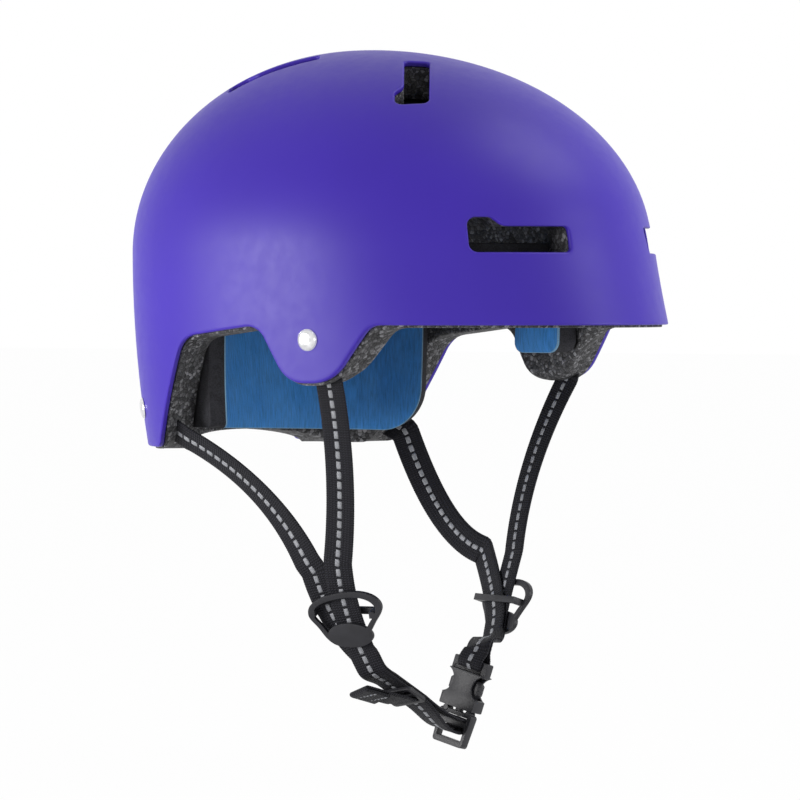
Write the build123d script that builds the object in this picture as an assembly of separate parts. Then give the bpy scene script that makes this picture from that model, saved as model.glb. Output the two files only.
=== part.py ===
# Skateboard helmet: hard shell, foam liner, fit pads, riveted webbing, strap dividers and a chin buckle.
# Millimetres. +Z is up, the front faces -Y and the wearer's left is +X.
# The origin is the centre of the head opening, level with the front lower edge.
import os
from math import atan2, cos, hypot, pi, radians, sin, sqrt, tan

from build123d import *

# Outer dome. Half lengths are measured from its widest section, which stands behind the origin.
half_width = 112.0
front_half_length = 154.4
rear_half_length = 111.5
widest_y = 20.3
waist_height = 36.2
dome_rise = 102.4
side_tuck = 12.0
rear_tuck = 12.5
tuck_reach = 100.0
brow_flare = 13.0
brow_top = 51.0
squareness_share = 0.031
flare_rise_power = 1.3
flare_spread_power = 1.5
rear_end = widest_y + rear_half_length

# The dome's surface is laid out as a fan about a lateral axis that passes through the ear openings.
fan_y = 28.0
fan_z = -31.0
fan_front_angle = -3.0
fan_rear_angle = 200.0
fan_lobe_angle = 26.0
fan_pole_angle = 84.0
fan_rows = 33
fan_columns = 27
ray_reach = 400.0
ray_steps = 48
normal_spread = 1.5
surface_tolerance = 0.02

# Walls and clearances
shell_wall = 3.0
glue_gap = 0.3
liner_wall = 17.5
liner_reveal = 1.2
soft_gap = 0.3
moulded_gap = 0.3
overrun = 40.0

# Lower edge as seen from the side. Forward places are positive towards the front,
# and setbacks are measured forwards from the shell's rear end.
brow_edge_end = 63.0
tab_front_low = 46.0
tab_rear_low = 17.0
tab_drop = 28.0
arch_front = 1.0
arch_rear_setback = 85.8
arch_slope_drop = 5.0
lobe_front_setback = 61.8
lobe_drop = 59.5
brow_corner_radius = 7.0
tab_radius = 14.0
arch_radius = 10.0
lobe_radius = 4.0
nape_rise = 8.0
nape_half_width = 54.0

# Vents: a rounded slot with a wider lobe at its outer end
vent_length = 49.0
vent_width = 12.5
vent_lobe = 4.4
vent_lobe_length = 11.0
vent_lobe_slope = 5.0
vent_corner = 2.4
vent_depth = 34.0
vent_centre_y = -12.0
top_vent_reach = 53.5
top_vent_angle = 51.0
back_vent_reach = 73.0
back_vent_angle = 141.0
slot_height = 41.5
front_slot_angle = 20.5
rear_slot_angle = 157.0

# Strap rivets: domed heads outside, flat washers inside
rivet_head_radius = 5.0
rivet_head_height = 2.0
rivet_shank_radius = 2.0
rivet_tail_radius = 3.2
rivet_tail_height = 0.8
rivet_fit = 0.1
washer_radius = 5.5
washer_thickness = 1.0
front_rivet_forward = 30.0
front_rivet_z = -7.2
rear_rivet_setback = 34.8
rear_rivet_z = -42.4
pocket_clearance = 1.2

# Webbing
web_width = 15.0
web_thickness = 1.4
web_end = 8.0
web_shell_gap = 1.0
web_depth = shell_wall + web_shell_gap + web_thickness / 2
web_slot_clearance = 0.8
ply_gap = 0.3
front_exit_forward = 35.0
front_exit_inset = 16.0
front_exit_z = -27.0
front_route_share = 0.5
rear_exit_setback = 65.8
rear_exit_inset = 26.0
rear_exit_z = -57.0
right_rear_route_share = 0.55
left_rear_route_share = 0.7
right_rear_bow = 11.0
left_rear_bow = -12.0
left_front_bow = 12.0
route_steps = 7

# Strap dividers
divider_forward = 16.3
divider_inset = 50.5
divider_z = -143.4
divider_face_angle = 17.0
divider_lean = 18.0
divider_width = 38.0
divider_top = 13.8
divider_bottom = 15.5
divider_rail = 3.0
divider_layer = 2.2
divider_bar_height = 3.4
divider_plate_width = 24.0
divider_plate_height = 12.5
divider_plate_side = 3.3
divider_outline_shares = (
    (-0.95, 0.1),
    (-0.86, 0.45),
    (-0.7, 0.62),
    (-0.27, 0.86),
    (0.17, 0.98),
    (0.55, 1),
    (0.85, 0.91),
    (1.06, 0.72),
    (1.14, 0.5),
    (1.1, 0.24),
    (0.92, -0.12),
    (0.76, -0.43),
    (0.45, -0.82),
    (0.13, -0.97),
    (-0.25, -0.94),
    (-0.5, -0.72),
    (-0.72, -0.34),
    (-0.91, -0.06),
)
junction_length = 49.0
right_junction_splay = 32.0
left_junction_splay = 43.0
right_chin_splay = 9.0
left_chin_splay = 2.0
left_chin_reach = 13.0
left_chin_lead_share = 0.12
left_chin_follow_share = 0.2
straight_leg = 3.0

# Buckle: the frame's Y axis runs up from the plug to the socket, and Z is its face normal
buckle_forward = 31.1
buckle_side = 12.4
buckle_z = -190.3
buckle_roll = 13.0
buckle_lean = 11.0
buckle_width = 21.5
buckle_length = 44.5
buckle_thickness = 8.5
sleeve_length = 19.0
sleeve_wall = 1.2
socket_bar = 2.6
waist_cut_radius = 6.5
waist_cut_depth = 4.6
window_length = 11.0
release_gap = 1.5
base_length = 17.5
base_thickness = 5.0
base_taper = 1.0
base_rail = 3.2
base_bar = 3.0
base_shoulder = 2.2
base_slit = 2.2
base_corner = 1.6
prong_length = 17.0
prong_width = 3.0
prong_pad_length = 9.0
prong_pad_depth = 3.2
prong_thickness = 5.0
prong_pivot_radius = 1.6
prong_pivot_side = 7.2
prong_root_share = 0.33
pad_start_share = 0.25
pad_end_share = 0.2
pad_tip_share = 0.1
pivot_clearance = 0.15
guide_length = 15.0
guide_width = 3.2
guide_thickness = 3.0
loop_corner = 1.7
edge_rounding = 0.8

# Three-bar slide on the right chin strap, and the folded tail of the webbing
slide_share = 0.46
slide_aim = 12.0
slide_travel = 5.0
slide_twist = 16.0
slide_width = 20.5
slide_height = 14.0
slide_thickness = 2.2
slide_bar = 2.6
slide_window = 3.4
slide_corner = 2.0
tail_length = 18.0
tail_fold = 6.0
tail_fall_share = 0.52

# Fit pads
patch_thickness = 1.0
patch_rows = 4
pad_thickness = 10.5
pad_edge_share = 0.8
pad_draw = 1.6
pad_row_power = 4
pad_column_power = 6
pad_rows = 13
pad_columns = 17
brow_pad_angle = 38.0
brow_pad_low = 6.0
brow_pad_high = 40.0
temple_pad_front_angle = 46.0
temple_pad_rear_angle = 66.0
temple_pad_low = -15.0
temple_pad_high = 36.0
rear_pad_angle = 109.0
rear_pad_low = -52.0
rear_pad_high = 6.0
rear_pad_columns = 45
rear_pad_channel = 2.0
rear_channel_power = 4
rear_channel_fade_share = 0.5
rear_channel_shares = (0.25, 0.5, 0.75)
crown_pad_length = 96.0
crown_pad_width = 62.0
crown_pad_y = 8.0
crown_round_share = 0.5
window_side = 62.0
window_forward = -76.0
window_width = 9.0
window_height = 10.0
window_z = -11.0

# Hook patches, by shares of their pad's width and height: their places, then their size
brow_patch_shares = (0.15, 0.5, 0.85)
brow_patch_size_shares = (0.6, 0.15)
temple_patch_size_shares = (0.4, 0.4)
rear_patch_shares = (0.12, 0.5, 0.88)
rear_patch_size_shares = (0.4, 0.08)
crown_patch_shares = (0.25, 0.75)
crown_patch_size_shares = (0.2, 0.3)
patch_middle_share = 0.5


def section_radius(angle, z, inset):
    """Distance from the dome's vertical axis to a nested surface; angle is zero at the front."""
    rise_share = min(max((z - waist_height) / (dome_rise - inset), 0), 1)
    drop = max(waist_height - z, 0) / tuck_reach
    round_share = sqrt(1 - rise_share**2)
    side = (half_width - inset) * round_share - side_tuck * drop**2
    front = (front_half_length - inset) * round_share
    rear = (rear_half_length - inset) * round_share - rear_tuck * drop**2
    low_share = max(0, (brow_top - z) / brow_top) ** flare_rise_power
    flare_share = low_share * max(0, cos(angle)) ** flare_spread_power
    length = rear + (front - rear) * (1 + cos(angle)) / 2 + brow_flare * flare_share
    oval = 1 / sqrt((sin(angle) / side) ** 2 + (cos(angle) / length) ** 2)
    return oval * (1 + squareness_share * sin(2 * angle) ** 2)


def is_outside(point, inset):
    """True where a point lies outside the nested surface."""
    if point.Z > waist_height + dome_rise - inset:
        return True
    angle = atan2(point.X, widest_y - point.Y)
    return hypot(point.X, point.Y - widest_y) > section_radius(angle, point.Z, inset)


def along_ray(start, direction, inset):
    """Last point inside the nested surface on a ray."""
    inside, beyond = 0.0, ray_reach
    for _ in range(ray_steps):
        middle = (inside + beyond) / 2
        if is_outside(start + direction * middle, inset):
            beyond = middle
        else:
            inside = middle
    return start + direction * inside


def side_point(angle, z, inset):
    """Point of a nested surface at an angle from the front, in degrees, towards the wearer's left."""
    turn = radians(angle)
    radius = section_radius(turn, z, inset)
    return Vector(radius * sin(turn), widest_y - radius * cos(turn), z)


def top_point(x, y, inset):
    """Point of a nested surface above a place in plan."""
    start = Vector(x, y, fan_z)
    return along_ray(start, Vector(0, 0, 1), inset)


def surface_normal(point, inset):
    """Outward normal of a nested surface near a point on it."""
    centre = Vector(0, widest_y, 0)
    direction = (point - centre).normalized()
    across = direction.cross(Vector(0, 0, 1)).normalized()
    along = direction.cross(across)
    spread = radians(normal_spread)
    pair_a = [along_ray(centre, (direction + across * s).normalized(), inset) for s in (-spread, spread)]
    pair_b = [along_ray(centre, (direction + along * s).normalized(), inset) for s in (-spread, spread)]
    normal = (pair_a[1] - pair_a[0]).cross(pair_b[1] - pair_b[0]).normalized()
    return normal if normal.dot(direction) > 0 else normal * -1


def fan_face(inset):
    """Whole dome surface at an inset, down past its lower edge."""
    centre = Vector(0, fan_y, fan_z)
    rows = []
    for row in range(fan_rows):
        points = []
        for column in range(fan_columns):
            side = radians(fan_pole_angle * (2 * column / (fan_columns - 1) - 1))
            last = fan_rear_angle + fan_lobe_angle * sin(side) ** 2
            turn = radians(fan_front_angle + (last - fan_front_angle) * row / (fan_rows - 1))
            direction = Vector(sin(side), -cos(side) * cos(turn), cos(side) * sin(turn))
            points.append(along_ray(centre, direction, inset))
        rows.append(points)
    return Face.make_surface_from_array_of_points(rows, tol=surface_tolerance)


def close_between(outer, inner):
    """Solid between two like four-sided faces."""
    sides = []
    for edge in outer.edges():
        match = min(inner.edges(), key=lambda other: (other @ 0.5 - edge @ 0.5).length)
        sides.append(Face.make_surface_from_curves(edge, match))
    return Solid(Shell([outer, inner] + sides))


def below_edge(reveal):
    """Everything under the lower edge, seen from the side; a reveal lets the liner stand lower."""
    far = front_half_length + rear_half_length
    outline = FilletPolyline(
        (-far, 0),
        (-brow_edge_end, 0),
        (-tab_front_low, -tab_drop),
        (-tab_rear_low, -tab_drop),
        (-arch_front, 0),
        (rear_end - arch_rear_setback, -arch_slope_drop),
        (rear_end - lobe_front_setback, -lobe_drop),
        (far, -lobe_drop),
        radius=[
            brow_corner_radius,
            tab_radius,
            tab_radius,
            arch_radius,
            arch_radius,
            lobe_radius,
        ],
    )
    closing = Polyline((far, -lobe_drop), (far, -far), (-far, -far), (-far, 0))
    region = make_face(outline.edges() + closing.edges())
    return Pos(0, 0, -reveal) * extrude(Plane.YZ * region, amount=half_width + overrun, both=True)


def nape_arch(reveal):
    """Shallow arch over the neck, cut forwards from behind."""
    arch = Ellipse(nape_half_width, nape_rise)
    plane = Plane(origin=(0, widest_y, -lobe_drop - reveal), x_dir=(1, 0, 0), z_dir=(0, 1, 0))
    return extrude(plane * arch, amount=rear_half_length + overrun)


def vent_outline(side):
    """Rounded slot; its outer end, at -X, is wider towards +Y on one side of the head."""
    half = vent_length / 2
    low = -vent_width / 2
    high = vent_width / 2
    slope_start = vent_lobe_length - half
    slope_end = slope_start + vent_lobe_slope
    points = [
        (-half, low),
        (half, low),
        (half, high),
        (slope_end, high),
        (slope_start, high + vent_lobe),
        (-half, high + vent_lobe),
    ]
    outline = make_face(Polyline(*points, close=True))
    outline = fillet(outline.vertices(), vent_corner)
    return outline if side > 0 else mirror(outline, about=Plane.XZ)


def slot_cutter(angle, side):
    """Upright side slot at an angle from the front; its lobe is at the outer end and points up."""
    place = side_point(side * angle, slot_height, 0)
    outward = Vector(sin(radians(side * angle)), -cos(radians(angle)), 0)
    inner_end = Vector(-outward.Y, outward.X, 0) * (-1 if angle < 90 else 1) * side
    plane = Plane(origin=place, x_dir=inner_end, z_dir=outward)
    flip = 1 if plane.y_dir.Z > 0 else -1
    return extrude(plane * vent_outline(flip), amount=vent_depth, both=True)


def top_cutter(angle, reach, side):
    """Radial vent in the top; the lobe at its outer end points to the rear."""
    turn = radians(side * angle)
    outward = Vector(sin(turn), -cos(turn), 0)
    place = top_point(outward.X * reach, vent_centre_y + outward.Y * reach, 0)
    normal = surface_normal(place, 0)
    inward = (outward * -1 - normal * outward.dot(normal) * -1).normalized()
    plane = Plane(origin=place, x_dir=inward, z_dir=normal)
    flip = 1 if plane.y_dir.Y > 0 else -1
    return extrude(plane * vent_outline(flip), amount=vent_depth, both=True)


def all_vents():
    """Cutters of the eight vents."""
    cutters = []
    for side in (-1, 1):
        cutters.append(slot_cutter(front_slot_angle, side))
        cutters.append(slot_cutter(rear_slot_angle, side))
        cutters.append(top_cutter(top_vent_angle, top_vent_reach, side))
        cutters.append(top_cutter(back_vent_angle, back_vent_reach, side))
    return cutters


def rivet_plane(forward, z, side):
    """Plane on the shell's outer face at a rivet, its Z axis pointing out."""
    start = Vector(0, -forward, z)
    place = along_ray(start, Vector(side, 0, 0), 0)
    return Plane(origin=place, x_dir=(0, 1, 0), z_dir=surface_normal(place, 0))


def rivet_planes():
    """The four rivet places, right side first."""
    places = []
    for side in (-1, 1):
        places.append(rivet_plane(front_rivet_forward, front_rivet_z, side))
        places.append(rivet_plane(rear_rivet_setback - rear_end, rear_rivet_z, side))
    return places


def bore(plane, radius, depth):
    """Round cutter going in from the shell's outer face, and out past it."""
    disc = plane * Circle(radius)
    return extrude(disc, amount=-depth) + extrude(disc, amount=overrun / 4)


def rivet(plane):
    """Domed rivet: head outside, shank through shell, webbing and washer, and a flat tail."""
    reach = web_depth + web_thickness / 2 + washer_thickness + 2 * rivet_fit
    ball_radius = (rivet_head_radius**2 + rivet_head_height**2) / (2 * rivet_head_height)
    ball = Pos(0, 0, rivet_head_height - ball_radius) * Sphere(ball_radius)
    slab = Pos(0, 0, rivet_head_height / 2 + rivet_fit / 2) * Cylinder(ball_radius, rivet_head_height)
    body = ball & Pos(0, 0, rivet_fit / 2) * slab
    body = body + Pos(0, 0, -reach / 2) * Cylinder(rivet_shank_radius, reach + 2 * rivet_fit)
    tail = Cylinder(rivet_tail_radius, rivet_tail_height)
    return plane * (body + Pos(0, 0, -reach - rivet_tail_height / 2) * tail)


def washer(plane):
    """Flat ring between the webbing and the rivet's tail."""
    depth = web_depth + web_thickness / 2 + rivet_fit
    ring = Circle(washer_radius) - Circle(rivet_shank_radius + rivet_fit)
    return extrude(plane.offset(-depth) * ring, amount=-washer_thickness)


def ribbon(points, normals, width, thickness):
    """Flat webbing along a route, with its face normal given at each point."""
    sections = []
    last = len(points) - 1
    for index, point in enumerate(points):
        tangent = (points[min(index + 1, last)] - points[max(index - 1, 0)]).normalized()
        across = normals[index].cross(tangent).normalized()
        plane = Plane(origin=point, x_dir=across, z_dir=tangent)
        sections.append(plane * Rectangle(width, thickness))
    return loft(sections, ruled=True)


def blend_list(first, last, count):
    """Vectors changing evenly from one to another."""
    return [(first * (1 - i / (count - 1)) + last * (i / (count - 1))) for i in range(count)]


def bend_route(start, control, end, count):
    """Points of one smooth bend."""
    return double_bend(start, start + (control - start) * 2 / 3, end + (control - end) * 2 / 3, end, count)


def double_bend(start, lead, follow, end, count):
    """Points of a curve that leaves towards one place and arrives from another."""
    route = []
    for index in range(count):
        t = index / (count - 1)
        rest = 1 - t
        route.append(start * rest**3 + lead * (3 * rest**2 * t) + follow * (3 * rest * t**2) + end * t**3)
    return route


def placed(forward, outward, z, side):
    """Point from its distance forward, its distance out from the middle and its height."""
    return Vector(side * outward, -forward, z)


def divider_plane(side):
    """Divider's plane: Y up along the front strap, Z out from the face."""
    turn = radians(divider_face_angle)
    lean = radians(divider_lean)
    normal = Vector(side * cos(turn) * cos(lean), -sin(turn) * cos(lean), -sin(lean))
    across = Vector(side * sin(turn), cos(turn), 0) * side
    origin = placed(divider_forward, half_width - divider_inset, divider_z, side)
    return Plane(origin=origin, x_dir=across, z_dir=normal)


def on_plane(plane, x, y, z):
    """Point given in a plane's own axes."""
    return plane.origin + plane.x_dir * x + plane.y_dir * y + plane.z_dir * z


def front_side(plane):
    """Sign of the plane's X axis that points to the front of the helmet."""
    return 1 if plane.x_dir.Y < 0 else -1


def front_strap_route(side):
    """Front strap from above its rivet, down through the liner, to just above the divider."""
    plane = rivet_plane(front_rivet_forward, front_rivet_z, side)
    anchor = plane.origin - plane.z_dir * web_depth
    exit_point = placed(front_exit_forward, half_width - front_exit_inset, front_exit_z, side)
    down = (exit_point - anchor).normalized()
    down = (down - plane.z_dir * down.dot(plane.z_dir)).normalized()
    frame = divider_plane(side)
    meeting, leg = junction_top(side, 1)
    end = meeting - leg * ply_gap
    above = end - leg * straight_leg
    points = [anchor - down * web_end, anchor + down * web_end]
    control = exit_point * (1 - front_route_share) + above * front_route_share
    if side > 0:
        control = control + Vector(0, left_front_bow, 0)
    points += bend_route(exit_point, control, above, route_steps) + [end]
    normals = [plane.z_dir, plane.z_dir]
    normals += blend_list(plane.z_dir, frame.z_dir, route_steps) + [frame.z_dir]
    return points, normals


def rear_strap_route(side):
    """Rear strap from behind its rivet, forwards out of the rear lobe and down to the divider."""
    plane = rivet_plane(rear_rivet_setback - rear_end, rear_rivet_z, side)
    anchor = plane.origin - plane.z_dir * web_depth
    exit_point = placed(rear_exit_setback - rear_end, half_width - rear_exit_inset, rear_exit_z, side)
    ahead = (exit_point - anchor).normalized()
    ahead = (ahead - plane.z_dir * ahead.dot(plane.z_dir)).normalized()
    frame = divider_plane(side)
    meeting, leg = junction_top(side, -1)
    end = meeting - leg * ply_gap
    above = end - leg * straight_leg
    share = left_rear_route_share if side > 0 else right_rear_route_share
    bow = left_rear_bow if side > 0 else right_rear_bow
    control = exit_point * (1 - share) + above * share + Vector(0, -bow, bow)
    points = [anchor - ahead * web_end, anchor + ahead * web_end]
    points += bend_route(exit_point, control, above, route_steps) + [end]
    normals = [plane.z_dir, plane.z_dir]
    normals += blend_list(plane.z_dir, frame.z_dir, route_steps) + [frame.z_dir]
    return points, normals


def strap(route, plane):
    """One strap with the hole for its rivet."""
    points, normals = route
    body = ribbon(points, normals, web_width, web_thickness)
    return body - bore(plane, rivet_shank_radius + rivet_fit, web_depth + web_thickness)


def strap_channel(route):
    """Room that the liner leaves round a strap, open towards the shell."""
    points, normals = route
    width = web_width + 2 * web_slot_clearance
    thickness = web_thickness + 2 * web_slot_clearance + web_shell_gap
    middles = [point + normal * (web_shell_gap / 2) for point, normal in zip(points[:4], normals[:4])]
    return ribbon(middles, normals[:4], width, thickness)


def shell():
    """Hard outer shell with its lower edge, vents and rivet holes."""
    body = close_between(fan_face(0), fan_face(shell_wall))
    body = body - below_edge(0) - nape_arch(0)
    for cutter in all_vents():
        body = body - cutter
    for plane in rivet_planes():
        body = body - bore(plane, rivet_shank_radius + rivet_fit, shell_wall * 2)
    return body


def liner():
    """Moulded foam liner with vents, strap channels and pockets behind the rivets."""
    outer = shell_wall + glue_gap
    body = close_between(fan_face(outer), fan_face(outer + liner_wall))
    body = body - below_edge(liner_reveal) - nape_arch(liner_reveal)
    for side in (-1, 1):
        body = body - strap_channel(front_strap_route(side))
        body = body - strap_channel(rear_strap_route(side))
    depth = web_depth + web_thickness / 2 + washer_thickness + rivet_tail_height + pocket_clearance
    for plane in rivet_planes():
        body = body - bore(plane, washer_radius + pocket_clearance, depth)
    for cutter in all_vents():
        body = body - cutter
    return body


def cushion(place, rows, columns, thickness, channels=()):
    """Crowned pad on a nested surface; place gives its points from two shares and an inset."""
    base = shell_wall + glue_gap + liner_wall + 2 * soft_gap + patch_thickness
    back_rows, face_rows = [], []
    for row in range(rows):
        back, face = [], []
        for column in range(columns):
            s = row / (rows - 1)
            t = column / (columns - 1)
            crown = (1 - (2 * s - 1) ** pad_row_power) * (1 - (2 * t - 1) ** pad_column_power)
            height = thickness * (pad_edge_share + (1 - pad_edge_share) * crown)
            for channel in channels:
                spread = (t - channel) * (columns - 1)
                fade = min(1, crown / rear_channel_fade_share)
                height -= rear_pad_channel * fade / (1 + spread**rear_channel_power)
            back.append(place(s, t, base, 0))
            face.append(place(s, t, base + height, pad_draw))
        back_rows.append(back)
        face_rows.append(face)
    outer = Face.make_surface_from_array_of_points(back_rows, tol=surface_tolerance)
    inner = Face.make_surface_from_array_of_points(face_rows, tol=surface_tolerance)
    return close_between(outer, inner)


def side_place(first, last, low, high):
    """Place function of a pad between two angles and two heights; its face is drawn in."""

    def place(s, t, inset, draw):
        z_low = low + draw
        z_high = high - draw
        shrink = draw / half_width * 180 / pi
        angle = (first + shrink) + (last - first - 2 * shrink) * t
        return side_point(angle, z_low + (z_high - z_low) * s, inset)

    return place


def crown_place(s, t, inset, draw):
    """Place function of the crown pad, an oval bent to the dome."""
    across = (crown_pad_width / 2 - draw) * (2 * t - 1)
    along = (crown_pad_length / 2 - draw) * (2 * s - 1)
    across = across * sqrt(1 - crown_round_share * (2 * s - 1) ** 2)
    along = along * sqrt(1 - crown_round_share * (2 * t - 1) ** 2)
    return top_point(across, crown_pad_y + along, inset)


def brow_place():
    """Place function of the brow pad."""
    return side_place(-brow_pad_angle, brow_pad_angle, brow_pad_low, brow_pad_high)


def temple_place(side):
    """Place function of one temple pad."""
    first = side * temple_pad_front_angle
    last = side * temple_pad_rear_angle
    return side_place(min(first, last), max(first, last), temple_pad_low, temple_pad_high)


def rear_place():
    """Place function of the rear pad."""
    return side_place(rear_pad_angle, 360 - rear_pad_angle, rear_pad_low, rear_pad_high)


def brow_pad():
    """Pad across the forehead."""
    return cushion(brow_place(), pad_rows, pad_columns, pad_thickness)


def temple_pad(side):
    """Pad inside one ear tab."""
    return cushion(temple_place(side), pad_rows, pad_columns, pad_thickness)


def rear_pad():
    """Pad that wraps the nape from lobe to lobe, with sewn channels and two small windows."""
    body = cushion(rear_place(), pad_rows, rear_pad_columns, pad_thickness, rear_channel_shares)
    for side in (-1, 1):
        angle = atan2(side * window_side, window_forward + widest_y)
        outward = Vector(sin(angle), -cos(angle), 0)
        centre = placed(window_forward, window_side, window_z, side)
        plane = Plane(origin=centre, x_dir=(0, 0, 1), z_dir=outward)
        body = body - extrude(plane * Rectangle(window_height, window_width), amount=overrun, both=True)
    return body


def crown_pad():
    """Oval pad under the crown."""
    return cushion(crown_place, pad_rows, pad_rows, pad_thickness - 2 * soft_gap)


def hook_patch(place, s, t, size_shares):
    """Hook-fastener patch between the liner and a pad, placed by shares of the pad's height and width."""
    high_share, wide_share = size_shares
    base = shell_wall + glue_gap + liner_wall + soft_gap
    faces = []
    for inset in (base, base + patch_thickness):
        rows = []
        for row in range(patch_rows):
            up = s + high_share * (row / (patch_rows - 1) - 0.5)
            turns = [t + wide_share * (column / (patch_rows - 1) - 0.5) for column in range(patch_rows)]
            rows.append([place(up, turn, inset, 0) for turn in turns])
        faces.append(Face.make_surface_from_array_of_points(rows, tol=surface_tolerance))
    return close_between(faces[0], faces[1])


def hook_patches():
    """All patches that hold the pads to the liner."""
    patches = []
    for t in brow_patch_shares:
        patches.append(hook_patch(brow_place(), patch_middle_share, t, brow_patch_size_shares))
    for side in (-1, 1):
        place = temple_place(side)
        patches.append(hook_patch(place, patch_middle_share, patch_middle_share, temple_patch_size_shares))
    for t in rear_patch_shares:
        patches.append(hook_patch(rear_place(), patch_middle_share, t, rear_patch_size_shares))
    for s in crown_patch_shares:
        patches.append(hook_patch(crown_place, s, patch_middle_share, crown_patch_size_shares))
    return patches


def divider_face(front, inset):
    """Flat rounded face of a divider, drawn in from its outline; front is 1 or -1."""
    half = divider_width / 2 - inset
    points = []
    for x_share, y_share in divider_outline_shares:
        reach = divider_top if y_share > 0 else divider_bottom
        points.append((front * half * x_share, (reach - inset) * y_share))
    return make_face(Spline(*points, periodic=True))


def divider(side):
    """Strap divider: front ring and plate, side rails, and a cross bar behind the webbing."""
    plane = divider_plane(side)
    front = front_side(plane)
    outline = divider_face(front, 0)
    window = divider_face(front, divider_rail)
    ring = outline - window
    level = web_thickness + ply_gap / 2 + moulded_gap
    body = extrude(Plane.XY.offset(level) * ring, amount=divider_layer)
    plate_centre = (front * divider_plate_side, -divider_bottom + divider_plate_height / 2)
    plate = Pos(*plate_centre) * Ellipse(divider_plate_width / 2, divider_plate_height / 2)
    body = body + extrude(Plane.XY.offset(level) * plate, amount=divider_layer)
    bar = Pos(0, divider_bar_height / 2) * Rectangle(divider_width - divider_rail, divider_bar_height)
    body = body + extrude(Plane.XY.offset(-level - divider_layer) * bar, amount=divider_layer)
    rails = bar - Rectangle(divider_width - 3 * divider_rail, overrun)
    behind = Plane.XY.offset(-level - divider_layer)
    body = body + extrude(behind * rails, amount=2 * (level + divider_layer))
    return plane * body


def junction_top(side, ply):
    """Where a ply enters the divider's webbing, and its direction there; ply is 1 in front and -1 behind."""
    plane = divider_plane(side)
    half = junction_length / 2
    lift = ply * (web_thickness + ply_gap) / 2
    splay = left_junction_splay if side > 0 else right_junction_splay
    spread = 0 if ply > 0 else -front_side(plane) * half * tan(radians(splay))
    top = on_plane(plane, spread, half, lift)
    return top, (on_plane(plane, 0, 0, lift) - top).normalized()


def chin_start(side):
    """Middle of the doubled webbing where it leaves the divider, and its direction there."""
    plane = divider_plane(side)
    splay = left_chin_splay if side > 0 else right_chin_splay
    reach = left_chin_reach if side > 0 else junction_length / 2
    low = on_plane(plane, front_side(plane) * splay, -reach, 0)
    return low, (low - plane.origin).normalized()


def junction(side):
    """The two webbing plies inside a divider; they follow it when it slides."""
    plane = divider_plane(side)
    low, fall = chin_start(side)
    plies = []
    for ply in (1, -1):
        top, leg = junction_top(side, ply)
        lift = plane.z_dir * ply * (web_thickness + ply_gap) / 2
        bottom = low + lift
        route = [top] + bend_route(top + leg * straight_leg, plane.origin + lift,
                                   bottom - fall * straight_leg, route_steps) + [bottom]
        plies.append(ribbon(route, [plane.z_dir] * len(route), web_width, web_thickness))
    return plies


def buckle_frame():
    """Buckle's own plane, in the middle between its ends; its face looks to the wearer's right."""
    roll = radians(buckle_roll)
    lean = radians(buckle_lean)
    across = Vector(0, -cos(roll), -sin(roll))
    normal = Vector(-cos(lean), -sin(roll) * sin(lean), cos(roll) * sin(lean))
    return Plane(origin=placed(buckle_forward, buckle_side, buckle_z, 1), x_dir=across, z_dir=normal)


def socket():
    """Female half: sleeve with a waisted face, side windows, and a web bar on two ears."""
    half = buckle_length / 2
    top = half - (half * 2 - base_length - release_gap - sleeve_length)
    mouth = top - sleeve_length
    middle = (top + mouth) / 2
    sleeve = extrude(Pos(0, middle) * RectangleRounded(buckle_width, sleeve_length, edge_rounding),
                     amount=buckle_thickness / 2, both=True)
    cavity_top = top - sleeve_wall
    cavity_width = buckle_width - 2 * sleeve_wall
    cavity_depth = buckle_thickness - 2 * sleeve_wall
    cavity_length = cavity_top - mouth + overrun
    cavity = Pos(0, cavity_top - cavity_length / 2) * Box(cavity_width, cavity_length, cavity_depth)
    body = sleeve - cavity
    for side in (-1, 1):
        reach = buckle_width / 2 + waist_cut_radius - waist_cut_depth
        waist = Pos(side * reach, top - window_length / 2 - sleeve_wall) * Circle(waist_cut_radius)
        body = body - extrude(waist, amount=buckle_thickness, both=True)
    ear_length = half - top + sleeve_wall
    ears = Pos(0, half - ear_length / 2) * RectangleRounded(buckle_width, ear_length, edge_rounding)
    slot_length = ear_length - socket_bar - sleeve_wall
    slot = Pos(0, half - socket_bar - slot_length / 2) * Rectangle(web_width + 2 * moulded_gap, slot_length)
    body = body + extrude(ears - slot, amount=base_thickness / 2, both=True)
    return buckle_frame() * body


def base_levels():
    """Heights of the plug base: its bottom, its shoulder against the socket and its web bar."""
    bottom = -buckle_length / 2
    shoulder = bottom + base_length
    bar = shoulder - base_shoulder - base_slit - base_bar / 2
    return bottom, shoulder, bar


def plug_base():
    """Male half's base: tapered frame with a web bar, pivots for the prongs and a middle guide."""
    bottom, shoulder, bar = base_levels()
    wide = buckle_width / 2 - moulded_gap
    narrow = wide - base_taper
    frame = make_face(
        Polyline((-narrow, bottom), (narrow, bottom), (wide, shoulder), (-wide, shoulder), close=True)
    )
    frame = fillet(frame.vertices(), base_corner)
    window_top = bar - base_bar / 2
    window_bottom = bottom + base_rail
    window_width = web_width + 2 * moulded_gap
    window = Pos(0, (window_top + window_bottom) / 2) * Rectangle(window_width, window_top - window_bottom)
    slit = Pos(0, shoulder - base_shoulder - base_slit / 2) * Rectangle(window_width, base_slit)
    body = extrude(frame - window - slit, amount=base_thickness / 2, both=True)
    guide_start = shoulder - edge_rounding
    guide = Pos(0, guide_start + guide_length / 2) * Box(guide_width, guide_length, guide_thickness)
    body = body + guide
    for side in (-1, 1):
        post = Pos(side * prong_pivot_side, shoulder) * Circle(prong_pivot_radius + pivot_clearance)
        body = body - extrude(post, amount=base_thickness, both=True)
    return buckle_frame() * body


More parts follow.
